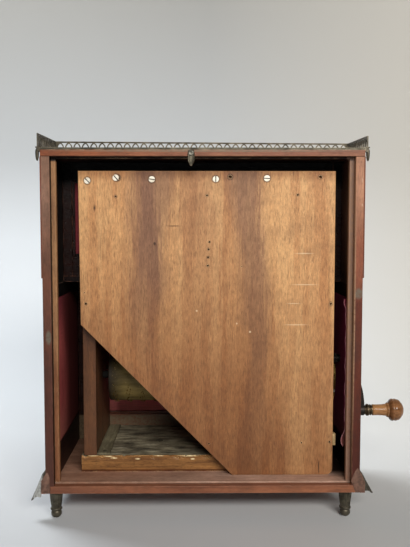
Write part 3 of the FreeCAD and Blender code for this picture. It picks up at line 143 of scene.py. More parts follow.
def paper_sweep():
    """The sweep's mesh: one long row of points drawn out to its width."""
    turns = 16
    rail = [(PAPER_FRONT, 0.0), (BEND_START, 0.0)]
    for step in range(1, turns + 1):
        angle = math.pi / 2 * step / turns
        rail.append((BEND_START + BEND_RADIUS * math.sin(angle), BEND_RADIUS * (1 - math.cos(angle))))
    rail.append((BEND_START + BEND_RADIUS, WALL_TOP))
    sweep = bmesh.new()
    row = [sweep.verts.new((-PAPER_HALF_WIDTH, depth, height)) for depth, height in rail]
    edges = [sweep.edges.new(pair) for pair in zip(row, row[1:])]
    wide = bmesh.ops.extrude_edge_only(sweep, edges=edges)["geom"]
    bmesh.ops.translate(sweep, verts=verts_in(wide), vec=(2 * PAPER_HALF_WIDTH, 0, 0))
    face_out(sweep)
    return sweep


def paper():
    """Matt bluish white paper, with painted shade up the wall and near the camera, and painted warm light
    on the crank's side.
    """
    material, tree, shader, position = surface("backdrop paper")
    place = add(tree, "SeparateXYZ", {0: position}).outputs
    tone = linear("E0E5E8")
    for axis, low, high, share, code in (
        ("Z", 0.35, 1.1, 1.0, "AEADA8"),
        ("X", 0.0, 0.6, 0.8, "E0DCD2"),
        ("Y", 0.3, -0.3, 0.6, "9A9DA0"),
    ):
        tone = tint(tree, spread(tree, place[axis], low, high, 0, share), tone, code)
    tree.links.new(tone, shader.inputs["Base Color"])
    shader.inputs["Roughness"].default_value = 0.9
    return material


def set_stage():
    """A pale seamless paper sweep, a soft light from behind and above, and a soft one in front."""
    data = settled("backdrop", paper_sweep())
    data.shade_smooth()
    data.materials.append(paper())
    put("backdrop", data)
    world = bpy.data.worlds.new("studio")
    world.use_nodes = True
    sky = world.node_tree.nodes["Background"]
    sky.inputs["Color"].default_value = linear("E4EAF2")
    sky.inputs["Strength"].default_value = 0.1
    bpy.context.scene.world = world
    # each light's place, target and size in metres, and its power in watts
    piano = at(0, 60, 260)
    area_light("front softbox", (0.6, -2.35, 1.42), piano, (1.8, 0.5), 64.0, "FFFAF4")
    area_light("rear softbox", (-1, 0.9, 2.3), (0, 0.45, 0.1), (1.2, 0.9), 60.0, "F4F7FB")
    bpy.context.scene.view_settings.view_transform = "Standard"


# Materials


def surface(name):
    """A new material: its node tree, its shader, and Object coordinates."""
    material = bpy.data.materials.new(name)
    material.use_nodes = True
    tree = material.node_tree
    return material, tree, tree.nodes["Principled BSDF"], add(tree, "TexCoord").outputs["Object"]


def blend_colour(tree, factor, first, second, mode="MIX"):
    """Mix two colours by a factor and give the result's socket."""
    mix = add(
        tree, "Mix", {0: factor, 6: first, 7: second}, data_type="RGBA", blend_type=mode, clamp_factor=True
    )
    return mix.outputs[2]


def tint(tree, mask, colour, code):
    """Lay an sRGB colour over another where a mask says so."""
    return blend_colour(tree, mask, colour, linear(code))


def noise_at(tree, position, stretch, size, detail=3.0, roughness=0.55):
    """Noise whose features are size millimetres wide, stretched by a share along each axis."""
    stretched = add(tree, "Mapping", {"Vector": position, "Scale": stretch})
    grain = {"Scale": 1 / (size * MM), "Detail": detail, "Roughness": roughness}
    return add(tree, "TexNoise", {"Vector": stretched.outputs[0], **grain}).outputs["Fac"]


def spread(tree, value, low, high, out_low=0.0, out_high=1.0):
    """Spread a value's range from low..high to out_low..out_high."""
    ends = {"Value": value, "From Min": low, "From Max": high, "To Min": out_low, "To Max": out_high}
    return add(tree, "MapRange", ends).outputs[0]


def reckon(tree, kind, first, second=0.0):
    """One step of arithmetic on one or two values."""
    return add(tree, "Math", {0: first, 1: second}, operation=kind).outputs[0]


def spot(tree, position, centre, reach, soft):
    """A mask: 1 in an ellipsoid, fading over its share soft to 0 at the rim; sizes in millimetres."""
    scale = [1.0 / (r * MM) for r in reach]
    offset = [-c * s for c, s in zip(at(*centre), scale)]
    inside = add(tree, "VectorMath", {0: position, 1: scale, 2: offset}, operation="MULTIPLY_ADD")
    length = add(tree, "VectorMath", {0: inside.outputs[0]}, operation="LENGTH")
    return spread(tree, length.outputs["Value"], 1, 1.0 - soft)


def most(tree, masks):
    """The strongest of several masks at each point."""
    strongest = masks[0]
    for mask in masks[1:]:
        strongest = reckon(tree, "MAXIMUM", strongest, mask)
    return strongest


def worn_edge(tree, radius, position, low=0.42, high=0.62):
    """A mask of edges that hands have rubbed, broken up by noise."""
    rounded = add(tree, "Bevel", {"Radius": radius * MM}, samples=4)
    plain = add(tree, "NewGeometry")
    dot = add(
        tree, "VectorMath", {0: rounded.outputs[0], 1: plain.outputs["Normal"]}, operation="DOT_PRODUCT"
    )
    edge = spread(tree, dot.outputs["Value"], 0.99, 0.8)
    rub = spread(tree, noise_at(tree, position, EVEN, 14), low, high)
    return reckon(tree, "MULTIPLY", edge, rub)


def along_axis(tree, position, axis, low, high):
    """A mask that grows from 0 at low to 1 at high, in the cabinet's millimetres along an axis."""
    offset = CABINET["XYZ".index(axis)]
    place = add(tree, "SeparateXYZ", {0: position}).outputs[axis]
    return spread(tree, place, (low + offset) * MM, (high + offset) * MM)


def shaded(tree, position, colour, shades):
    """Multiply a colour by a tint beyond each limit; shades are (tint, [(axis, low, high), ...])."""
    for code, limits in shades:
        mask = along_axis(tree, position, *limits[0])
        for limit in limits[1:]:
            mask = reckon(tree, "MULTIPLY", mask, along_axis(tree, position, *limit))
        colour = blend_colour(tree, mask, colour, linear(code), "MULTIPLY")
    return colour


def marked(tree, position, colour, marks):
    """Lay spots on a colour; marks are (colour, strength, [(centre, reach, soft), ...])."""
    if not marks:
        return colour
    ragged = spread(tree, noise_at(tree, position, EVEN, 3), 0.3, 0.6, 0.35, 1)
    for code, strength, places in marks:
        mask = most(tree, [spot(tree, position, *place) for place in places])
        mask = reckon(tree, "MULTIPLY", mask, reckon(tree, "MULTIPLY", ragged, strength))
        colour = tint(tree, mask, colour, code)
    return colour


def flat_spots(face, sunk, rows):
    """Spots on an upright face, from rows of (across, height, half width, half height, soft)."""
    return [((across, face, height), (wide, sunk, tall), soft) for across, height, wide, tall, soft in rows]


def finish(tree, shader, colour, height, relief=0.3, deep=0.2):
    """Give a shader its colour and the fine relief of its surface, deep in millimetres."""
    bump = add(tree, "Bump", {"Strength": relief, "Distance": deep * MM, "Height": height})
    tree.links.new(colour, shader.inputs["Base Color"])
    tree.links.new(bump.outputs[0], shader.inputs["Normal"])


# How far a pattern is stretched along each axis, for fibres that run along x, y or z, or for a
# coat brushed on along x.
GRAIN = {
    "x": (0.05, 1, 1),
    "y": (1, 0.05, 1),
    "z": (1, 1, 0.05),
    "brushed": (0.3, 0.9, 1),
}
EVEN = (1, 1, 1)
DIRT = "2A221C"
PORE = "1A100A"


def wood(
    name, light, dark, grain, fibre=1.6, figure=14, gloss=0.45, pore=0.25, worn=None, dirt=0.0, shades=(),
    marks=(),
):
    """A wood whose fibres run along one axis: broad figure, fine fibres, open pores, wear and dirt.

    Fibre and figure are widths in millimetres, gloss is the roughness, pore and dirt are strengths.
    """
    material, tree, shader, position = surface(name)
    along = GRAIN[grain]
    short = [0.16 if share < 1 else 1.0 for share in along]
    sway = 12.0 * MM
    bend = noise_at(tree, position, EVEN, 90.0, 2.0)
    lean = add(tree, "VectorMath", {0: (sway, sway, sway)}, operation="SCALE")
    tree.links.new(spread(tree, bend, 0, 1, -0.5, 0.5), lean.inputs["Scale"])
    bent = add(tree, "VectorMath", {0: position, 1: lean.outputs[0]}, operation="ADD").outputs[0]
    broad = noise_at(tree, bent, along, figure, 4.0, 0.6)
    fine = noise_at(tree, bent, short, fibre, 4.0, 0.7)
    pores = spread(tree, noise_at(tree, bent, short, 0.9, 1), 0.6, 0.72)
    colour = blend_colour(tree, spread(tree, broad, 0.34, 0.66), linear(dark), linear(light))
    colour = blend_colour(tree, 1, colour, spread(tree, fine, 0.25, 0.75, 0.72, 1.28), "MULTIPLY")
    colour = tint(tree, reckon(tree, "MULTIPLY", pores, pore), colour, PORE)
    colour = shaded(tree, position, colour, shades)
    if dirt:
        blotch = spread(tree, noise_at(tree, position, EVEN, 40, 6, 0.65), 0.42, 0.7, 0, dirt)
        colour = tint(tree, blotch, colour, DIRT)
    if worn:
        colour = tint(tree, worn_edge(tree, 1.2, position), colour, worn)
    colour = marked(tree, position, colour, marks)
    shader.inputs["Specular IOR Level"].default_value = 0.3
    tree.links.new(spread(tree, fine, 0.3, 0.7, gloss + 0.08, gloss - 0.06), shader.inputs["Roughness"])
    finish(tree, shader, colour, reckon(tree, "SUBTRACT", fine, pores))
    return material


def metal(
    name, base, high, rough, patina=None, tarnish=20, metallic=1.0, grit=0.9, relief=0.2, shades=(),
    marks=(),
):
    """A metal with a cast or drawn surface, rubbed bright on its edges and dull where it is tarnished.

    Tarnish and grit are the widths in millimetres of its clouds and of its roughest grains.
    """
    material, tree, shader, position = surface(name)
    cloud = spread(tree, noise_at(tree, position, EVEN, tarnish, 5, 0.65), 0.38, 0.62)
    colour = blend_colour(tree, cloud, linear(base), linear(patina or base))
    colour = tint(tree, worn_edge(tree, 0.8, position), colour, high)
    colour = marked(tree, position, shaded(tree, position, colour, shades), marks)
    tree.links.new(spread(tree, cloud, 0, 1, rough, rough + 0.18), shader.inputs["Roughness"])
    finish(tree, shader, colour, noise_at(tree, position, EVEN, grit), relief, 0.3)
    shader.inputs["Metallic"].default_value = metallic
    return material


# Bands of dark heartwood in the board: height, middle across, half width and depth of colour.
HEART_BANDS = (
    (
        (466, -66, 30, 0.95), (410, -73, 26, 0.90), (360, -76, 22, 0.92),
        (314, -73, 27, 0.80), (251, -82, 20, 0.45), (203, -64, 18, 0.25),
        (150, -58, 14, 0.10),
    ),
    (
        (466, 55, 22, 0.92), (410, 58, 20, 0.78), (338, 70, 19, 0.72),
        (266, 72, 18, 0.60), (240, 77, 13, 0.55), (190, 74, 13, 0.45),
        (107, 68, 16, 0.34), (50, 68, 16, 0.36),
    ),
    (
        (466, -6, 34, 0.30), (410, -4, 34, 0.30), (330, -2, 36, 0.20),
        (250, -4, 30, 0.10), (60, 20, 12, 0.10),
    ),
)
BOARD_FACE = 33.0
# Marks on the board, as flat_spots takes them: pale specks and scratches, dark scratches, dirt and a
# painted shadow round the screws, dark empty screw holes, and nail holes.
PALE_MARKS = flat_spots(BOARD_FACE, 4, (
    (64.1, 249.5, 1.7, 1.7, 0.4), (46, 260.9, 1.2, 1.5, 0.4),
    (-8.3, 278.3, 1.6, 1.6, 0.6), (138, 313.8, 21.5, 0.7, 0.6),
    (123.3, 288.2, 11.3, 0.6, 0.6), (126.2, 259.1, 19.2, 0.7, 0.6),
    (137, 356, 16, 1, 0.8),
))
DARK_SCRATCHES = flat_spots(BOARD_FACE, 4, (
    (159.4, 61.5, 0.7, 11, 0.3), (-39, 393, 11, 0.8, 0.6),
    (-64.8, 369.3, 2.2, 3, 0.6), (-145, 417, 2.4, 6, 0.8),
))
# round each screw: dirt and a painted shadow
SCREW_MARKS = flat_spots(BOARD_FACE, 6, (
    (-154.4, 453.5, 6.4, 6.4, 0.35), (-115, 457.4, 7.2, 6.6, 0.35),
    (-68.2, 455.3, 6.4, 6.4, 0.35), (17.4, 455.7, 6.4, 6.4, 0.35),
    (86, 456.7, 6.4, 6.4, 0.35), (36.7, 458.4, 5, 5, 0.4),
    (157.8, 458.5, 4.4, 4.4, 0.6), (-158, 288.1, 3, 3, 0.7),
    (173.5, 287.6, 3.4, 4.4, 0.7), (174.2, 96.7, 3, 3, 0.7),
))
NAIL_MARKS = flat_spots(BOARD_FACE, 6, (
    (8.8, 371.5, 2.6, 2.6, 0.6), (7.8, 361.7, 2.6, 2.6, 0.6), (7.2, 350.9, 2.8, 2.8, 0.6),
    (6.6, 339.4, 2.8, 2.8, 0.6), (-116.6, 432.4, 3.2, 3.2, 0.7),
    (5.5, 433.8, 3, 3, 0.7), (127.5, 434.6, 3, 3, 0.7),
))


def heart_band(tree, across, height, stops):
    """One band of dark wood whose middle, width and strength change on its way down the board."""
    low, high = 40.0, 480.0
    left, width, half_most = -180.0, 360.0, 50.0
    colours = [
        ((level - low) / (high - low), ((middle - left) / width, half / half_most, strength, 1.0))
        for level, middle, half, strength in reversed(stops)
    ]
    ramp = add(tree, "ValToRGB", {"Fac": spread(tree, height, low * MM, high * MM)}, colours)
    ramp.color_ramp.interpolation = "CARDINAL"
    parts = add(tree, "SeparateColor", {"Color": ramp.outputs["Color"]}).outputs
    offset = CABINET.x
    middle = spread(tree, parts[0], 0, 1, (left + offset) * MM, (left + width + offset) * MM)
    apart = reckon(tree, "ABSOLUTE", reckon(tree, "SUBTRACT", across, middle))
    share = reckon(tree, "DIVIDE", apart, reckon(tree, "MULTIPLY", parts[1], half_most * MM))
    return reckon(tree, "MULTIPLY", spread(tree, share, 1.45, 0.5), parts[2])


def figured_board():
    """Walnut veneer, waxed: brown heartwood bands in golden wood, old scratches, specks and nail marks."""
    material, tree, shader, position = surface("figured walnut, waxed")
    bend = noise_at(tree, position, (1, 1, 0.3), 90.0, 2.0)
    feather = noise_at(tree, position, (1, 1, 0.05), 3.5, 3.0, 0.7)
    bends = spread(tree, bend, 0.3, 0.7, -0.004, 0.004)
    lean = reckon(tree, "ADD", bends, spread(tree, feather, 0.3, 0.7, -0.006, 0.006))
    axes = add(tree, "SeparateXYZ", {0: position}).outputs
    across = reckon(tree, "ADD", axes["X"], lean)
    heart = most(tree, [heart_band(tree, across, axes["Z"], stops) for stops in HEART_BANDS])
    bent = add(tree, "CombineXYZ", {0: across, 1: axes["Y"], 2: axes["Z"]}).outputs[0]
    broad = noise_at(tree, bent, (1, 1, 0.06), 18.0, 4.0, 0.6)
    fine = noise_at(tree, position, (1, 1, 0.22), 2.0, 4.0, 0.85)
    mottle = noise_at(tree, position, (1, 1, 0.6), 8.0, 4.0, 0.65)
    pores = spread(tree, noise_at(tree, position, (1, 1, 0.14), 1.4, 2, 0.6), 0.55, 0.68)
    flecks = spread(tree, noise_at(tree, position, (0.8, 1, 0.5), 1.6, 3, 0.75), 0.6, 0.75)
    golden = blend_colour(tree, spread(tree, broad, 0.36, 0.64), linear("BA8455"), linear("D8A873"))
    brown = blend_colour(tree, spread(tree, broad, 0.36, 0.64), linear("7E5A47"), linear("9B7354"))
    colour = blend_colour(tree, heart, golden, brown)
    # partly painted shade and partly the wood's own colour: darker towards the bottom, most at the lower
    # left, and darker along the top edge
    shadows = (
        ("D2C2B8", (("Z", 400, 170), ("X", 140, 60))),
        ("CCC3BE", (("Z", 330, 80),)),
        ("D2C6BC", (("Z", 452, 463),)),
    )
    colour = shaded(tree, position, colour, shadows)
    colour = blend_colour(tree, 1, colour, spread(tree, fine, 0.30, 0.70, 0.70, 1.28), "MULTIPLY")
    colour = blend_colour(tree, 1, colour, spread(tree, mottle, 0.3, 0.7, 0.92, 1.10), "MULTIPLY")
    colour = tint(tree, reckon(tree, "MULTIPLY", pores, 0.42), colour, "543320")
    upper_right = reckon(
        tree, "MULTIPLY", spread(tree, across, 0, 0.06, 0, 0.5), spread(tree, axes["Z"], 0.31, 0.36)
    )
    colour = tint(tree, reckon(tree, "MULTIPLY", flecks, upper_right), colour, "F0CE9C")
    soot = spread(tree, noise_at(tree, position, EVEN, 46, 6, 0.7), 0.5, 0.75, 0, 0.35)
    colour = tint(tree, soot, colour, "6A4630")
    for code, strength, places in (
        ("F0DAB4", 0.6, PALE_MARKS),
        ("3A2418", 0.9, DARK_SCRATCHES + SCREW_MARKS + NAIL_MARKS),
    ):
        mask = most(tree, [spot(tree, position, *place) for place in places])
        colour = tint(tree, reckon(tree, "MULTIPLY", mask, strength), colour, code)
    colour = tint(tree, worn_edge(tree, 1.6, position, 0.3, 0.5), colour, "E6BE8C")
    colour = shaded(tree, position, colour, (("8A6A5A", (("Z", 130, 60), ("X", 176, 180))),))
    shader.inputs["Specular IOR Level"].default_value = 0.3
    tree.links.new(spread(tree, fine, 0.3, 0.7, 0.56, 0.42), shader.inputs["Roughness"])
    finish(tree, shader, colour, reckon(tree, "SUBTRACT", fine, pores))
    return material


def silk_cloth(name, light, dark, shades, marks):
    """Silk taffeta, faded: warp ribs, slubs across, a low sheen of its own colour, and dust low down."""
    material, tree, shader, position = surface(name)
    weave = add(tree, "UVMap", uv_map="weave").outputs[0]
    # a thread is 0.3 mm, drawn at 1.2 mm because finer ribs don't show in the picture
    warp = noise_at(tree, weave, (1, 0.04, 1), 1.2, 3.0, 0.6)
    weft = noise_at(tree, weave, (0.05, 1, 1), 1.4, 3.0, 0.6)
    fade = noise_at(tree, weave, (1, 0.5, 1), 60.0, 3.0)
    threads = reckon(tree, "ADD", warp, weft)
    colour = blend_colour(tree, spread(tree, fade, 0.35, 0.65), linear(dark), linear(light))
    colour = blend_colour(tree, 1, colour, spread(tree, threads, 0.7, 1.3, 0.7, 1.25), "MULTIPLY")
    dust = reckon(tree, "MULTIPLY", along_axis(tree, position, "Z", 150.0, 100.0), 0.55)
    colour = tint(tree, dust, colour, "8A6452")
    colour = marked(tree, position, shaded(tree, position, colour, shades), marks)
    soft_sheen = {
        "Roughness": 0.7,
        "Specular IOR Level": 0.2,
        "Sheen Weight": 0.12,
        "Sheen Roughness": 0.5,
        "Sheen Tint": linear(light),
    }
    for socket, value in soft_sheen.items():
        shader.inputs[socket].default_value = value
    finish(tree, shader, colour, threads, 0.35)
    return material


# Shapes


def piece(name, mesh, body, materials, replaces=(), smooth=True):
    """Turn a bmesh into a finished piece that rides on a body and stands for CAD nodes."""
    data = settled(name, mesh)
    for material in materials:
        data.materials.append(material)
    if smooth:
        data.shade_smooth()
        data.set_sharp_from_angle(angle=math.radians(35))
    made = put(name, data)
    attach(made, body)
    if replaces:
        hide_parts(*replaces)
    return made


def face_out(mesh):
    """Turn a bmesh's faces outwards."""
    bmesh.ops.recalc_face_normals(mesh, faces=mesh.faces)


def verts_in(geometry):
    """The vertices among what an operator gives back."""
    return [item for item in geometry if isinstance(item, bmesh.types.BMVert)]


def block(low, high):
    """A rectangular block between two corners."""
    mesh = bmesh.new()
    bmesh.ops.create_cube(mesh, size=1.0)
    bmesh.ops.scale(mesh, verts=mesh.verts, vec=high - low)
    shift(mesh, (low + high) / 2)
    return mesh


def shift(mesh, way):
    """Move a whole bmesh."""
    bmesh.ops.translate(mesh, verts=mesh.verts, vec=way)


def turn(mesh, angle, axis):
    """Turn a bmesh about an axis through the origin."""
    bmesh.ops.rotate(mesh, verts=mesh.verts, matrix=Matrix.Rotation(angle, 3, axis))


def walled(mesh, thickness):
    """Give an open sheet of faces a wall, in millimetres."""
    face_out(mesh)
    bmesh.ops.solidify(mesh, geom=mesh.faces[:], thickness=thickness * MM)
    face_out(mesh)
    return mesh


def hump(value, middle, width):
    """A smooth hump: 1 at its middle, and about a third of that one width away."""
    return math.exp(-(((value - middle) / width) ** 2))


def absorb(mesh, other):
    """Add one bmesh's faces to another and free it."""
    data = settled("joined", other)
    mesh.from_mesh(data)
    bpy.data.meshes.remove(data)


def bowed(profile, steps=6):
    """A profile's points; where a point has a third value, the side after it bows out by that."""
    points = []
    for point, after in zip(profile, profile[1:]):
        points.append(point[:2])
        if len(point) == 2:
            continue
        radius, along, bow = point
        for step in range(1, steps):
            share = step / steps
            lift = bow * 4 * share * (1 - share)
            points.append((radius + (after[0] - radius) * share + lift, along + (after[1] - along) * share))
    return points + [profile[-1][:2]]


def turned(profile, place, axis="Z", steps=48, closed=False):
    """A piece turned about the Z or the X axis, from points of radius and distance along."""
    mesh = bmesh.new()
    ring = [mesh.verts.new((radius * MM, 0.0, along * MM)) for radius, along in profile]
    pairs = list(zip(ring, ring[1:])) + ([(ring[-1], ring[0])] if closed else [])
    edges = [mesh.edges.new(pair) for pair in pairs]
    bmesh.ops.spin(
        mesh, geom=ring + edges, cent=(0, 0, 0), axis=(0, 0, 1), angle=2 * math.pi, steps=steps,
        use_merge=True,
    )
    bmesh.ops.remove_doubles(mesh, verts=mesh.verts, dist=1e-6)
    face_out(mesh)
    if axis == "X":
        turn(mesh, math.pi / 2, "Y")
    shift(mesh, at(*place))
    return mesh


def rod_along(path, radius, sides=8):
    """A round bar that follows a path of points given in the cabinet's millimetres."""
    points = [at(*point) for point in path]
    mesh = bmesh.new()
    ring = bmesh.ops.create_circle(mesh, cap_ends=True, radius=radius * MM, segments=sides)["verts"]
    heading = Vector((0, 0, 1))
    bmesh.ops.translate(mesh, verts=ring, vec=points[0])
    edges = mesh.edges[:]
    for start, end in zip(points, points[1:]):
        turn = heading.rotation_difference(end - start).to_matrix()
        bmesh.ops.rotate(mesh, verts=ring, cent=start, matrix=turn)
        heading = end - start
        grown = bmesh.ops.extrude_edge_only(mesh, edges=edges)["geom"]
        edges = [item for item in grown if isinstance(item, bmesh.types.BMEdge) and item.is_boundary]
        ring = verts_in(grown)
        bmesh.ops.translate(mesh, verts=ring, vec=heading)
    bmesh.ops.edgeloop_fill(mesh, edges=edges)
    face_out(mesh)
    return mesh


def dress(nodes, material):
    """Give CAD nodes a material."""
    for node in nodes:
        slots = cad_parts[node].data.materials
        slots.clear()
        slots.append(material)


# The cabinet's woods

GRIME = "6A6658"
# painted shade on the case's inside, from just behind its rear edge
PAINTED_SHADE_INSIDE = (("Y", 0.6, 2.6),)
POLISHED = {"light": "8A5240", "dark": "522E20", "grain": "x", "gloss": 0.3, "worn": "A8745C"}


def post_wood(name, light, dark, worn, shades):
    """A side frame's mahogany, with old glue patches on its rear edge and a crack at its foot."""
    glue = (((-202, -1, 247), (4.6, 3, 11.5), 0.35), ((204, -1, 304.5), (7.5, 3, 9), 0.35))
    crack = (((-203.5, 0, 42), (0.6, 2, 6), 0.4),)
    knocks = (((206.8, 0, 420), (1.2, 2, 2.4), 0.7), ((206.5, 0, 452), (1, 2, 4), 0.7))
    # painted light on the right wall's inner face: over its upper part, and in the rebate beside the batten
    painted_light_upper_inside = (((198, 50, 405), (4, 90, 110), 1.0),)
    painted_light_rebate = (((198, 4, 270), (3, 5.5, 260), 0.2),)
    marks = (
        (GRIME, 0.85, glue),
        ("241610", 0.9, crack),
        ("D8B8A0", 0.6, knocks),
        ("A87E62", 0.9, painted_light_upper_inside),
        ("A68468", 1.0, painted_light_rebate),
    )
    return wood(name, light, dark, "z", worn=worn, dirt=0.4, marks=marks, shades=shades, gloss=0.5)


def dress_posts():
    """The two side frames, which have faded unlike each other."""
    # painted shade on the left wall's inner face, near black higher up
    left_wall = PAINTED_SHADE_INSIDE + (("X", -202, -199.4),)
    left_shades = (
        ("C4A494", (("Z", 440, 330),)),
        ("D8C8D4", (("Z", 330, 200),)),
        ("241711", left_wall + (("Z", 90, 145),)),
        ("9C8068", left_wall),
        ("94806C", left_wall + (("Z", 50, 90),)),
    )
    right_shades = (
        ("C8A498", (("Z", 440, 370),)),
        ("AC8C82", (("Z", 330, 290),)),
        ("E8E0DC", (("Z", 220, 60),)),
        # painted shade on the right wall's inner face, behind its rebate
        ("7A5A46", (("Y", 8.6, 11), ("X", 202, 199.4))),
    )
    faded = post_wood("mahogany, French polished, faded", "96725F", "76543F", "B08C78", left_shades)
    red = post_wood("mahogany, French polished, red", "BC8868", "986650", "D4A88C", right_shades)
    dress(["case_left_side"], faded)
    dress(["case_right_side"], red)


def dress_case():
    """The rest of the cabinet's woods."""
    rubs = (((198, -1, 58), (3, 3, 5), 0.7), ((-120, -1, 59.6), (70, 3, 1), 0.8))
    rails = wood(
        "mahogany edge, rubbed", "965F42", "70432F", "x", worn="D8A88C", dirt=0.3, figure=9,
        marks=(("E8D0B4", 0.9, rubs),),
    )
    dress(["case_bottom"], rails)
    # painted shade on the top's underside; the top also darker towards the left
    top_shades = (
        ("D8B8A0", (("X", 60, -140),)),
        ("5A3E2C", (("Z", 483.6, 482.8),)),
    )
    dust = (("7A7460", 0.75, (((0, 0, 489.4), (230, 5, 1.4), 0.4),)),)
    top = wood(
        "mahogany top, rubbed", "B27A58", "8A563F", "x", worn="CE9E78", dirt=0.3, marks=dust,
        shades=top_shades,
    )
    dress(["case_top"], top)
    dusty_inside = (("7A6A54", 0.95, (((0, 203, 62), (900, 3, 29), 0.1),)),)
    # painted shade on the left end of the frame's inner face
    painted_shade_left_end = (("5A4C48", (("Y", 205, 203.5), ("X", -150, -176))),)
    lower = wood("mahogany, polished", **POLISHED, shades=painted_shade_left_end, marks=dusty_inside)
    dress(["lower_front_frame"], lower)
    plinth = wood(
        "mahogany moulding, polished", "9C6650", "6E4434", "x", gloss=0.35, worn="B8907C", dirt=0.4
    )
    dress(["plinth_moulding"], plinth)
    # painted shade on the ledge board's rear part, inside the case
    painted_shade_ledge = (("3A2A24", (("Y", 100, 98),)),)
    dress(["ledge_board"], wood("mahogany ledge, polished", **POLISHED, shades=painted_shade_ledge))
    # painted shade on the frame's inner faces, near black high up under the top
    behind = ("Y", 99.1, 98.6)
    painted_shade_frame_inside = (("4A362C", (behind,)), ("1A1614", (behind, ("Z", 440, 462))))
    # painted light on the frame's right stile inside the case
    painted_light_right_stile = (("A87C60", 1.0, (((184, 99, 405), (11, 3, 78), 0.2),)),)
    upper = wood("mahogany, painted shade inside", **POLISHED, shades=painted_shade_frame_inside, marks=painted_light_right_stile)
    dress(["upper_front_frame"], upper)
    dress(["upper_side_panels"], wood("mahogany veneer, polished", "8A5240", "4E2B1F", "z", gloss=0.28))
    # painted shade on the battens' tops under the case's top; the battens also darker towards the bottom
    batten_shades = (
        ("2A1C14", (("Z", 476, 478),)),
        ("E2CCC4", (("Z", 240, 200),)),
    )
    right_batten = (("8C6E5E", 0.95, (((195, 14, 270), (12, 30, 280), 0.1),)),)
    worn_batten = wood(
        "beech batten, oiled", "AE8258", "886042", "z", worn="D4B48C", dirt=0.25, shades=batten_shades,
        marks=right_batten,
    )
    dress(["rear_stop_battens"], worn_batten)
    # the lining darker towards the left, and painted shade on it in the gap right of the back board
    lining_shades = (
        ("D4C4B8", (("X", 60, -140),)),
        ("3A302C", (("X", 172, 182), ("Y", 24, 52))),
    )
    lining = wood(
        "softwood lining, dusty", "CCA894", "A88470", "x", gloss=0.6, dirt=0.35, worn="E8D0BC",
        shades=lining_shades,
    )
    dress(["floor_lining"], lining)


HAMMERS = [f"hammer_{number:02d}" for number in range(1, 15)]


def dress_movement():
    """The movement's woods, steels and brasses."""
    dress(["back_board"], figured_board())
    dress(["chassis_left_cheek"], wood("beech, stained", "6C4428", "42291A", "z", dirt=0.35, worn="8A6040"))
    dress(["chassis_right_cheek"], wood("beech, stained, right", "664429", "422A18", "z", dirt=0.4))
    knot = (("1A130D", 1.0, (((-138, 61, 76.4), (3.2, 4, 3), 0.3),)),)
    batten = wood("pine batten, dusty", "8C8468", "544C38", "y", gloss=0.7, dirt=0.6, marks=knot)
    dress(["floor_batten"], batten)
    dress(["wrest_plank", "hitch_rail"], wood("beech plank", "7A5A3C", "523826", "x", gloss=0.6, dirt=0.4))
    dress(["soundboard"], wood("spruce", "B08A58", "8A6640", "z", fibre=1.2, figure=5, gloss=0.5))
    dress(["string_bridge"], wood("maple bridge", "8A6A48", "6A4A30", "x", gloss=0.55))
    # painted shade on the barrel's left end
    barrel = wood(
        "poplar barrel, papered", "96824E", "6A5A2E", "x", fibre=2.4, gloss=0.6, dirt=0.5,
        shades=(("4E4638", (("X", -112, -134),)),),
    )
    dress(["barrel"], barrel)
    dress(HAMMERS, wood("pear wood", "B08A5A", "8A6640", "z", gloss=0.5))
    steel = metal("steel, dull", "6E6A62", "B4AFA4", 0.35, "4A4038")
    dress(["tuning_pins", "hitch_pins", "hammer_axle", "grip_pin"], steel)
    dress(["strings"], metal("music wire", "A8A294", "D0CBC0", 0.3, "7A6E58"))
    button_screw = (("38362C", 1.0, (((-15.3, -2, 487), (8, 8, 8), 0.1),)),)
    # painted shade in the slots and round the heads' rims
    slots = (("1C140E", (("Y", 32.45, 32.6),)),)
    screws = metal(
        "nickelled screw", "F4EEDE", "FFFBF0", 0.4, "D8CEB8", tarnish=5, metallic=0.3, shades=slots,
        marks=button_screw,
    )
    dress(["slotted_screws"], screws)
    # a painted glint on one of the wheel's teeth
    painted_glint = (("FFFFF8", 1.0, (((189, 85.5, 155.6), (5, 4.5, 2.6), 0.2),)),)
    wheel = metal("brass, tarnished", "9A7A3E", "D6BE80", 0.32, "6E5628", marks=painted_glint)
    dress(["barrel_wheel"], wheel)
    # painted shade: the arbor's steel near black
    dress(["barrel_arbor"], metal("steel, shaded near black", "161412", "24211D", 0.75, metallic=0.3))
    dress(["crank_bush"], metal("brass, dark", "5E5234", "A8966A", 0.35, "3E3826"))
    iron = metal("forged iron", "3A3632", "7A746C", 0.45, "2A2622", metallic=0.9)
    dress(["crank_shaft", "crank_arm", "tune_selector"], iron)


# The silk


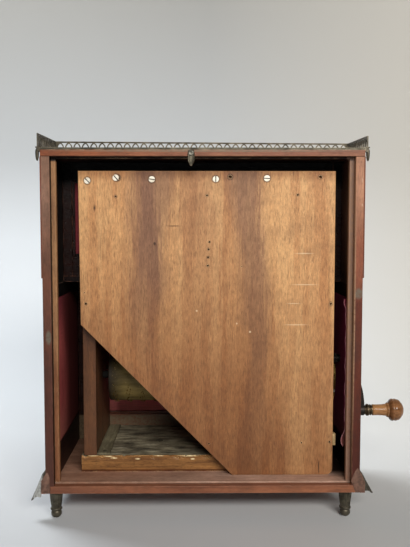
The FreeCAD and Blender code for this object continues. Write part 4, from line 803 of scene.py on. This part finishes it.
def silk(name, node, axis, outside, inside, curl=None, shades=(), marks=()):
    """A silk panel stretched over a window, slightly uneven, in the space of its CAD solid."""
    low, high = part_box(node)
    size = high - low
    wide = size.y if axis == "X" else size.x
    tall = size.z
    step = 4 * MM
    mesh = bmesh.new()
    mesh.loops.layers.uv.new("weave")
    bmesh.ops.create_grid(
        mesh, x_segments=round(wide / step), y_segments=round(tall / step), size=0.5, calc_uvs=True
    )
    bmesh.ops.scale(mesh, verts=mesh.verts, vec=(wide, tall, 1))
    weave = mesh.loops.layers.uv["weave"]
    for face in mesh.faces:
        for loop in face.loops:
            loop[weave].uv = loop.vert.co.xy
    turn(mesh, math.pi / 2, "X")
    if axis == "X":
        turn(mesh, math.pi / 2, "Z")
    shift(mesh, (low + high) / 2)
    across = "XY".index(axis)
    swell = 0.35 * MM
    for vert in mesh.verts:
        vert.co[across] += swell * noise.noise(Vector((vert.co.x * 18, vert.co.y * 22, vert.co.z * 6)))
        if curl:
            vert.co += curl(vert.co)
    mesh.normal_update()
    if next(iter(mesh.faces)).normal[across] * (low + high)[across] < 0:
        bmesh.ops.reverse_faces(mesh, faces=mesh.faces[:])
    # the side turned into the case has a cloth of its own, painted lighter on some panels as painted light,
    # and only it takes the painted shade
    cloths = [
        silk_cloth(name.replace("_", " "), *outside, (), marks),
        silk_cloth(name.replace("_", " ") + ", inside", *inside, shades, marks),
    ]
    made = piece(name, mesh, "case", cloths, [node])
    wall = made.modifiers.new("thickness", "SOLIDIFY")
    wall.material_offset = 1
    wall.thickness = 0.25 * MM
    wall.offset = 0.0


def loose_edge(point):
    """The right silk's rear edge, come loose from its tacks: it leans in, most near its two ends."""
    place = point / MM - CABINET
    folds = hump(place.z, 292.0, 7.0) + 1.3 * hump(place.z, 103.0, 9.0)
    inward = 6.2 + 3.6 * folds
    ripple = 0.5 * math.sin(place.z * 0.19) + 0.3 * math.sin(place.z * 0.53)
    return Vector((-(inward + ripple) * hump(place.y, 18, 9) * MM, 0, 0))


def add_silks():
    """The four silk panels, with each one's colours outside and inside."""
    crimson = ("9E4048", "7A2E34")
    purple = ("A03C5C", "7A2A44")
    # painted shade on the left panel's inside: darker deeper into the case and towards its top
    away = (("2A1216", (("Y", 36, 125),)), ("A890B0", (("Z", 230, 290),)))
    # frayed threads and a painted highlight along the right panel's loose rear edge
    frayed_edge_and_highlight = (("E0A0A8", 1.0, (((190, 17, 195), (9, 4.5, 130), 0.3),)),)
    # painted light: the left panel's inside is lighter than its outside
    silk(
        "silk_left", "left_side_silk", "X", crimson, ("BE5C58", "904040"),
        shades=away,
    )
    silk(
        "silk_right", "right_side_silk", "X", ("9C3C50", "782A3A"), purple,
        curl=loose_edge, marks=frayed_edge_and_highlight,
    )
    # painted light: the lower panel's inside is much lighter than its outside
    silk("silk_lower", "lower_front_silk", "Y", crimson, ("FF8288", "F0626C"))
    silk("silk_upper", "upper_front_silk", "Y", crimson, ("A03A40", "7C2A32"))


# The bronze

SIDES = (-1, 1)
CORNERS = [(side, rear) for side in SIDES for rear in (True, False)]


def foot(across, depth):
    """One turned foot: a fluted neck over a ring and a bulb."""
    profile = (
        (0, 0), (4.2, 0.2, 0.8), (7, 4.6, 0.3), (6.5, 8.6), (6.2, 9.4), (6.5, 9.9),
        (7.5, 10.4, 0.5), (7.5, 13), (6.7, 13.6), (6.9, 15.4), (7.3, 18), (7.8, 21.5),
        (8.2, 25), (8.6, 29), (8.8, 33), (8.8, 34.6), (8.8, 35.2), (8.8, 38),
        (0, 38),
    )
    flutes = 14
    deepest = 0.55
    mesh = turned(bowed(profile), (across, depth, 0.0), steps=flutes * 6)
    axis = at(across, depth, 0.0)
    for vert in mesh.verts:
        level = vert.co.z / MM
        if not 15.5 < level < 34.0:
            continue
        out = vert.co - axis
        angle = math.atan2(out.y, out.x)
        # the flutes run out at both their ends
        run_out = min(1.0, (34.4 - level) / 2.5, (level - 15.0) / 2.0)
        carve = deepest * max(0.0, math.cos(flutes * angle)) ** 0.7 * run_out
        away = Vector((out.x, out.y, 0)).normalized()
        vert.co -= away * carve * MM
    return mesh


def leaf(side, rear, tip_level):
    """One leaf mount: a ribbed acanthus leaf that clasps the plinth and flares out to its tip."""
    # share of the way down, the distance out of its edges and its middle, and its half width
    stations = (
        (0.00, 209.3, 210.6, 3), (0.14, 212.6, 214.4, 5.5), (0.28, 214.9, 216.6, 8),
        (0.52, 215.2, 220.6, 9.6), (0.74, 215.6, 224.6, 10.2), (0.90, 216, 227.4, 10.2),
        (1.00, 216.4, 229.2, 10),
    )
    top_level = 65.5
    middle = 12.0 if rear else 203.0
    ribs = 5
    farthest = 229.4
    mesh = bmesh.new()
    bmesh.ops.create_grid(mesh, x_segments=44, y_segments=44, size=1.0)
    for vert in mesh.verts:
        across, down = vert.co.x, (1 - vert.co.y) / 2
        # the bottom edge rises in a hollow on each side of the tip
        hollow = 0.20 * math.sin(min(1.0, abs(across) * 1.25) * math.pi / 2) ** 1.3
        share = down * (1 - hollow * down)
        for first, second in zip(stations, stations[1:]):
            if share <= second[0]:
                break
        part = (share - first[0]) / (second[0] - first[0])
        edge, out, half = (a + (b - a) * part for a, b in zip(first[1:], second[1:]))
        rib = 0.45 * math.cos(across * math.pi * ribs) * min(1.0, share * 3)
        reach = edge + (out - edge) * (1 - abs(across) ** 1.5) + rib
        level = top_level - share * (top_level - tip_level)
        # the lowest strip turns out into a lip
        rim = max(0.0, down - 0.93) / 0.07
        vert.co = at(side * min(reach + 0.8 * rim, farthest), middle + half * across, level)
    return walled(mesh, 1.4)


def lobe(stations):
    """A leaf's lobe that wraps round the plinth's rear end, from (across, bottom, top) stations."""
    mesh = bmesh.new()
    bmesh.ops.create_grid(mesh, x_segments=36, y_segments=20, size=0.5)
    for vert in mesh.verts:
        share, up = vert.co.x + 0.5, vert.co.y + 0.5
        place = share * (len(stations) - 1)
        count = min(int(place), len(stations) - 2)
        part = place - count
        across, low, high = (a + (b - a) * part for a, b in zip(stations[count], stations[count + 1]))
        low += 1.2 * abs(math.sin(share * math.pi * 4))
        swell = 0.6 + 0.8 * math.sin(math.pi * share) + 0.3 * math.cos(share * math.pi * 9) * (1 - up)
        edge = min(1.0, 4 * up, 4 * (1 - up), 6 * share + 0.1, 6 * (1 - share) + 0.1)
        vert.co = at(across, -swell * edge - 0.1, low + (high - low) * up)
    return walled(mesh, 0.5)


def drop(side, rear):
    """A drop below a corner of the gallery: a ring over a pointed, hollow bud that hangs clear."""
    profile = (
        (0, 476.6), (0.9, 477.2, 0.2), (1.8, 480, 0.15), (2.3, 485, 0.1),
        (2.3, 489, 0.1), (1.8, 491.6, -0.1), (1.2, 492.6), (1.2, 493.2),
        (2.3, 493.8, 0.2), (2.3, 495), (0, 495.4),
    )
    return turned(bowed(profile), (side * 213.8, 2.9 if rear else 115.1, 0.0), steps=20)


def add_turn_button(bronze):
    """The turn button: a long pointed leaf, hollow down its middle between two raised rims."""
    low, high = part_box("turn_button")
    size = high - low
    mesh = bmesh.new()
    bmesh.ops.create_grid(mesh, x_segments=24, y_segments=48, size=0.5)
    centre = (low + high) / 2
    for vert in mesh.verts:
        across, up = vert.co.x * 2, vert.co.y + 0.5
        # pointed below, widest at three quarters of its height, drawn in above that
        half = 0.5 * min(1.0, 0.18 + 1.9 * up**0.8) * (1 - max(0.0, up - 0.75))
        ridge = hump(abs(across), 0.72, 0.2)
        crown = (1 - abs(across) ** 4) * (0.55 if up > 0.62 else 0.15)
        proud = min(1.0, 0.25 + 0.75 * max(ridge, crown)) * min(1.0, 12 * (1 - abs(across)) + 0.2)
        vert.co = Vector((
            centre.x + across * half * size.x, high.y - size.y * proud * 0.98, low.z + up * size.z
        ))
    back = bmesh.ops.extrude_edge_only(mesh, edges=[edge for edge in mesh.edges if edge.is_boundary])
    for vert in verts_in(back["geom"]):
        vert.co.y = high.y
    bmesh.ops.holes_fill(mesh, edges=[edge for edge in mesh.edges if edge.is_boundary])
    bmesh.ops.remove_doubles(mesh, verts=mesh.verts, dist=1e-6)
    face_out(mesh)
    piece("turn_button_leaf", mesh, "button", [bronze], ["turn_button"])


def add_feet(bronze):
    """The four turned feet."""
    feet = bmesh.new()
    for across in (-198.5, 193.3):
        for depth in (18, 197):
            absorb(feet, foot(across, depth))
    piece("feet_turned", feet, "case", [bronze], ["feet"])


def add_leaves():
    """The leaf mounts on the plinth's ends, and their lobes round its rear corners."""
    # the left leaves hang lower
    tip_levels = {-1: 24.5, 1: 33}
    leaves = bmesh.new()
    for side, rear in CORNERS:
        absorb(leaves, leaf(side, rear, tip_levels[side]))
    lobe_bronze = metal(
        "bronze leaf, brown lacquer", "7C5A4A", "987664", 0.6, "584034", tarnish=7, metallic=0.1,
        grit=1.6, relief=0.4,
    )
    right_lobe = (
        (197.6, 53, 56), (200.6, 45, 63), (202.4, 39.5, 67), (206, 38, 71.5),
        (211, 37.6, 64), (216, 37.6, 52),
    )
    left_lobe = (
        (-203.6, 39.4, 60), (-205.4, 38.6, 65.5), (-207.6, 38.2, 67),
        (-211, 38.2, 61), (-214.6, 39, 50),
    )
    lobes = lobe(right_lobe)
    absorb(lobes, lobe(left_lobe))
    piece("leaf_lobes", lobes, "case", [lobe_bronze])
    tip_shadows = (((-223.5, 6, 27), (5.5, 12, 3.2), 0.5), ((-217.5, 5, 31), (4, 12, 2.8), 0.5))
    # painted reflection lightens the left rear leaf, painted shade darkens the right rear leaf, and painted
    # shadows lie at the left leaf's tip
    painted_leaf_light = (
        ("3E382E", 0.7, (((222, 5, 45), (12, 9, 30), 0.3),)),
        ("C6C6C0", 1.0, (((-221, 5, 40), (12, 9, 30), 0.3),)),
        ("16150F", 1.0, tip_shadows),
    )
    leaf_bronze = metal(
        "bronze leaf, dusty", "5A564A", "9C9888", 0.55, "3C382E", tarnish=5, metallic=0.35, relief=0.6,
        marks=painted_leaf_light,
    )
    piece("leaf_mounts_ribbed", leaves, "case", [leaf_bronze], ["leaf_mounts"])


def add_gallery_trim(bronze):
    """The gallery's four drops and the round rim on its top edge, which slopes down to the rear."""
    drops = bmesh.new()
    for side, rear in CORNERS:
        absorb(drops, drop(side, rear))
    piece("gallery_buds", drops, "case", [bronze], ["gallery_drops"])
    radius = 0.85
    half_wall = 0.75
    rail = 213.5 - half_wall
    front = 118.5 - half_wall
    case_top = 491.5
    # each side's height above the case's top, at its rear and at its front
    heights = {-1: (20.5, 24), 1: (17.5, 21.5)}
    rim = bmesh.new()
    for side in SIDES:
        rear_top, front_top = (case_top + height - radius for height in heights[side])
        rail_points = ((1.3, rear_top), (12.0, rear_top + 0.35), (front, front_top))
        absorb(rim, rod_along([(side * rail, depth, level) for depth, level in rail_points], radius))
    front_rail = [(side * rail, front, case_top + heights[side][1] - radius) for side in SIDES]
    absorb(rim, rod_along(front_rail, radius))
    piece("gallery_rim", rim, "case", [bronze])


def add_grip():
    """The crank's turned grip and its dark ferrule, both bored for the pin that they spin on."""
    place = (234, 88.15, 126.92)
    bore = 3.05
    grip_profile = (
        (bore, 11.6), (7.2, 11.6), (7.7, 11.9, 0.2), (8, 13.6, -0.25), (8.1, 26.5),
        (8.6, 29.6, -0.5), (9.9, 32.8), (10.5, 33.2, 0.2), (10.5, 34.6), (9.9, 34.9),
        (9.9, 35.3), (10.5, 35.5), (11.9, 36, 1.9), (15.4, 42.2, 0.55), (15.1, 47.6, 1.1),
        (11.2, 53.2, 0.9), (5, 56.8, 0.2), (4.8, 52), (bore, 52),
    )
    boxwood = wood(
        "boxwood, varnished", "B48456", "845A36", "x", fibre=1, figure=4, gloss=0.13, pore=0.3,
        shades=(("D4CCCE", (("X", 267, 271),)),),
    )
    grip = turned(bowed(grip_profile, 8), place, "X", 56, closed=True)
    piece("grip_turned", grip, "grip", [boxwood], ["crank_grip"])
    ferrule_profile = (
        (bore, 0), (6.2, 0), (6.7, 0.5), (6.5, 1.6, -0.2), (6.5, 2.8), (7.9, 3.1),
        (8.4, 3.6, 0.2), (8.4, 6.2), (7.9, 6.8), (6.9, 7.2), (6.9, 7.8), (7.4, 8.3, 0.5),
        (7.4, 10.2), (6.7, 10.7), (6.7, 11.5), (bore, 11.5),
    )
    dark = metal("gunmetal, dark", "7A6A54", "B8A888", 0.34, "4C4232", tarnish=6)
    ferrule = turned(bowed(ferrule_profile), place, "X", 48, closed=True)
    piece("ferrule_turned", ferrule, "grip", [dark], ["grip_ferrule"])


def add_barrel_pins(brass):
    """The barrel's pins: short wires in broken rows, seven tunes side by side at each hammer."""
    shuffled = random.Random(14)
    axis = at(0, 125, 172)
    radius, proud, sunk, thick = 37.8 * MM, 2.4 * MM, 0.6 * MM, 0.5 * MM
    first_hammer, hammer_step = -126.75, 19.5
    tunes, tune_step = 7, 1.0
    pins = bmesh.new()
    for note in range(len(HAMMERS)):
        for tune in range(tunes):
            across = first_hammer + hammer_step * note + (tune - tunes // 2) * tune_step
            angle = shuffled.uniform(0, 40)
            while angle < 355.0:
                pin = bmesh.new()
                bmesh.ops.create_cone(
                    pin, cap_ends=True, segments=6, radius1=thick, radius2=0.8 * thick, depth=proud + sunk
                )
                shift(pin, (0, 0, radius + (proud - sunk) / 2))
                turn(pin, math.radians(angle), "X")
                shift(pin, axis + Vector((across * MM, 0, 0)))
                absorb(pins, pin)
                angle += shuffled.uniform(14, 50)
    piece("barrel_pins_wire", pins, "barrel_set", [brass], ["barrel_pins"], smooth=False)


def add_hammer_rail():
    """The comb that the hammers swing in: its slots end clear of their spring wires at full swing."""
    low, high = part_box("hammer_rail")
    slot_half, slot_long = 2.8 * MM, 19.2 * MM
    outline = [(low.x, high.y), (low.x, low.y)]
    middles = sorted(sum(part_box(hammer), Vector()).x / 2 for hammer in HAMMERS)
    for middle in middles:
        sides = (middle - slot_half, middle + slot_half)
        end = low.y + slot_long
        outline += [(sides[0], low.y), (sides[0], end), (sides[1], end), (sides[1], low.y)]
    outline += [(high.x, low.y), (high.x, high.y)]
    mesh = bmesh.new()
    face = mesh.faces.new([mesh.verts.new((across, depth, low.z)) for across, depth in outline])
    grown = bmesh.ops.extrude_face_region(mesh, geom=[face])["geom"]
    bmesh.ops.translate(mesh, verts=verts_in(grown), vec=(0, 0, high.z - low.z))
    face_out(mesh)
    pine = wood("pine rail", "9A7A4E", "70542F", "x", gloss=0.6, dirt=0.3)
    piece("hammer_comb", mesh, "case", [pine], ["hammer_rail"], smooth=False)


def splinter(mesh, low, high):
    """Chip a board's upper rear edge: cut it fine there, then push in what the noise picks."""
    size = high - low
    columns = 140
    # how far the chips reach below the top and in from the rear, and how deep they are
    tall, long = 5.2 * MM, 3.2 * MM
    inward_most, down_most = 5.0 * MM, 4.5 * MM
    cuts = [(Vector((low.x + size.x * count / columns, 0, 0)), (1, 0, 0)) for count in range(1, columns)]
    cuts += [(Vector((0, 0, high.z - below * MM)), (0, 0, 1)) for below in (1.2, 2.6, 5)]
    cuts += [(Vector((0, low.y + inward * MM, 0)), (0, 1, 0)) for inward in (1.2, 3)]
    for place, normal in cuts:
        geometry = mesh.verts[:] + mesh.edges[:] + mesh.faces[:]
        bmesh.ops.bisect_plane(mesh, geom=geometry, plane_co=place, plane_no=normal)
    end = 0.1 * MM
    for vert in mesh.verts:
        near_top = max(0.0, 1 - (high.z - vert.co.z) / tall)
        near_back = max(0.0, 1 - (vert.co.y - low.y) / long)
        if near_top * near_back <= 0 or vert.co.x < low.x + end or vert.co.x > high.x - end:
            continue
        chip = noise.noise(Vector((vert.co.x * 90, 3.1, vert.co.z * 300)))
        chip = max(0, chip + 0.35 * noise.noise(Vector((vert.co.x * 400, 0, vert.co.z * 500))))
        vert.co.y += inward_most * chip * near_top
        vert.co.z -= down_most * chip * near_back


def sill_pine():
    """Pine, oiled: amber with dark grain, pale where its rear edge has chipped, and cracked."""
    face, sunk = 50.0, 3
    pale_chips = flat_spots(face, sunk, (
        (-131, 72, 9, 1, 0.5), (-124, 69.6, 6, 1.1, 0.5),
        (-91, 68.4, 4.2, 1.3, 0.5), (-62, 72.6, 9, 0.7, 0.5),
        (-20, 72.4, 17, 1, 0.5), (-14, 68, 3.6, 1.4, 0.5),
        (-154, 72.8, 9, 0.6, 0.5),
    ))
    cracks = flat_spots(face, sunk, (
        (-112, 61, 20, 0.6, 0.5), (-52, 57.6, 28, 0.6, 0.5),
        (-150, 64.4, 9, 0.6, 0.5), (-96, 63, 0.7, 6, 0.5),
    ))
    return wood(
        "pine, oiled", "A0713F", "6E4826", "x", fibre=1.4, figure=5, gloss=0.5, pore=0.5, worn="E6BE80",
        marks=(("F6E2B0", 1.0, pale_chips), ("3A2210", 0.8, cracks)),
        shades=(("A88C80", (("Z", 54, 53),)),),
    )


def limewashed_pine():
    """Pine with dust and limewash: grey, with darker and paler streaks brushed along it."""

    def streaks(rows):
        """Streaks on the top, from rows of (across, depth, half width, half depth)."""
        return [((across, depth, 73.4), (wide, deep, 6), 0.8) for across, depth, wide, deep in rows]

    soot = streaks((
        (-112, 66, 12, 4), (-84, 78, 20, 6), (-52, 62, 16, 5),
        (-108, 104, 16, 10), (-64, 118, 22, 16), (-30, 84, 18, 9),
        (-92, 150, 30, 12),
    ))
    lime = streaks((
        (-122, 58, 8, 3.5), (-96, 57, 9, 3), (-72, 68, 12, 2.6),
        (-118, 84, 10, 5), (-78, 98, 16, 4),
    ))
    return wood(
        "pine with dust and limewash", "A89F84", "4C4434", "brushed", fibre=5, figure=9, gloss=0.75,
        dirt=0.7, marks=(("221D16", 0.85, soot), ("C8C0A8", 0.6, lime)),
    )


def add_sill():
    """The movement's floor board: its rear edge is splintered and its top streaked with dust."""
    low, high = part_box("chassis_floor")
    mesh = block(low, high)
    splinter(mesh, low, high)
    bare_rim = low.y + 2 * MM
    for face in mesh.faces:
        face.material_index = 1 if face.normal.z > 0.8 and face.calc_center_median().y > bare_rim else 0
    woods = [sill_pine(), limewashed_pine()]
    piece("sill_board", mesh, "case", woods, ["chassis_floor"], smooth=False)


def add_glue_block():
    """A small pale block glued to the back board's right edge, seen in the gap beside it."""
    mesh = block(at(178.5, 36, 91), at(183, 46, 107.6))
    bmesh.ops.bevel(
        mesh, geom=mesh.edges[:], offset=0.8 * MM, affect="EDGES", segments=2, profile=0.5, material=-1
    )
    face_out(mesh)
    pale = wood("pine block, bare", "CDB384", "A88A5C", "z", fibre=1.2, figure=4, gloss=0.6)
    piece("glue_block", mesh, "case", [pale])


set_camera()
set_stage()
dress_posts()
dress_case()
dress_movement()
bronze = metal("bronze, dark patina", "605A4C", "B8AE98", 0.42, "403C32", tarnish=9, metallic=0.75)
dress(["gallery"], bronze)
add_feet(bronze)
add_leaves()
add_gallery_trim(bronze)
add_turn_button(bronze)
add_grip()
add_barrel_pins(metal("brass wire, tarnished", "9A7A3E", "D6BE80", 0.32, "6E5628"))
add_silks()
add_hammer_rail()
add_sill()
add_glue_block()
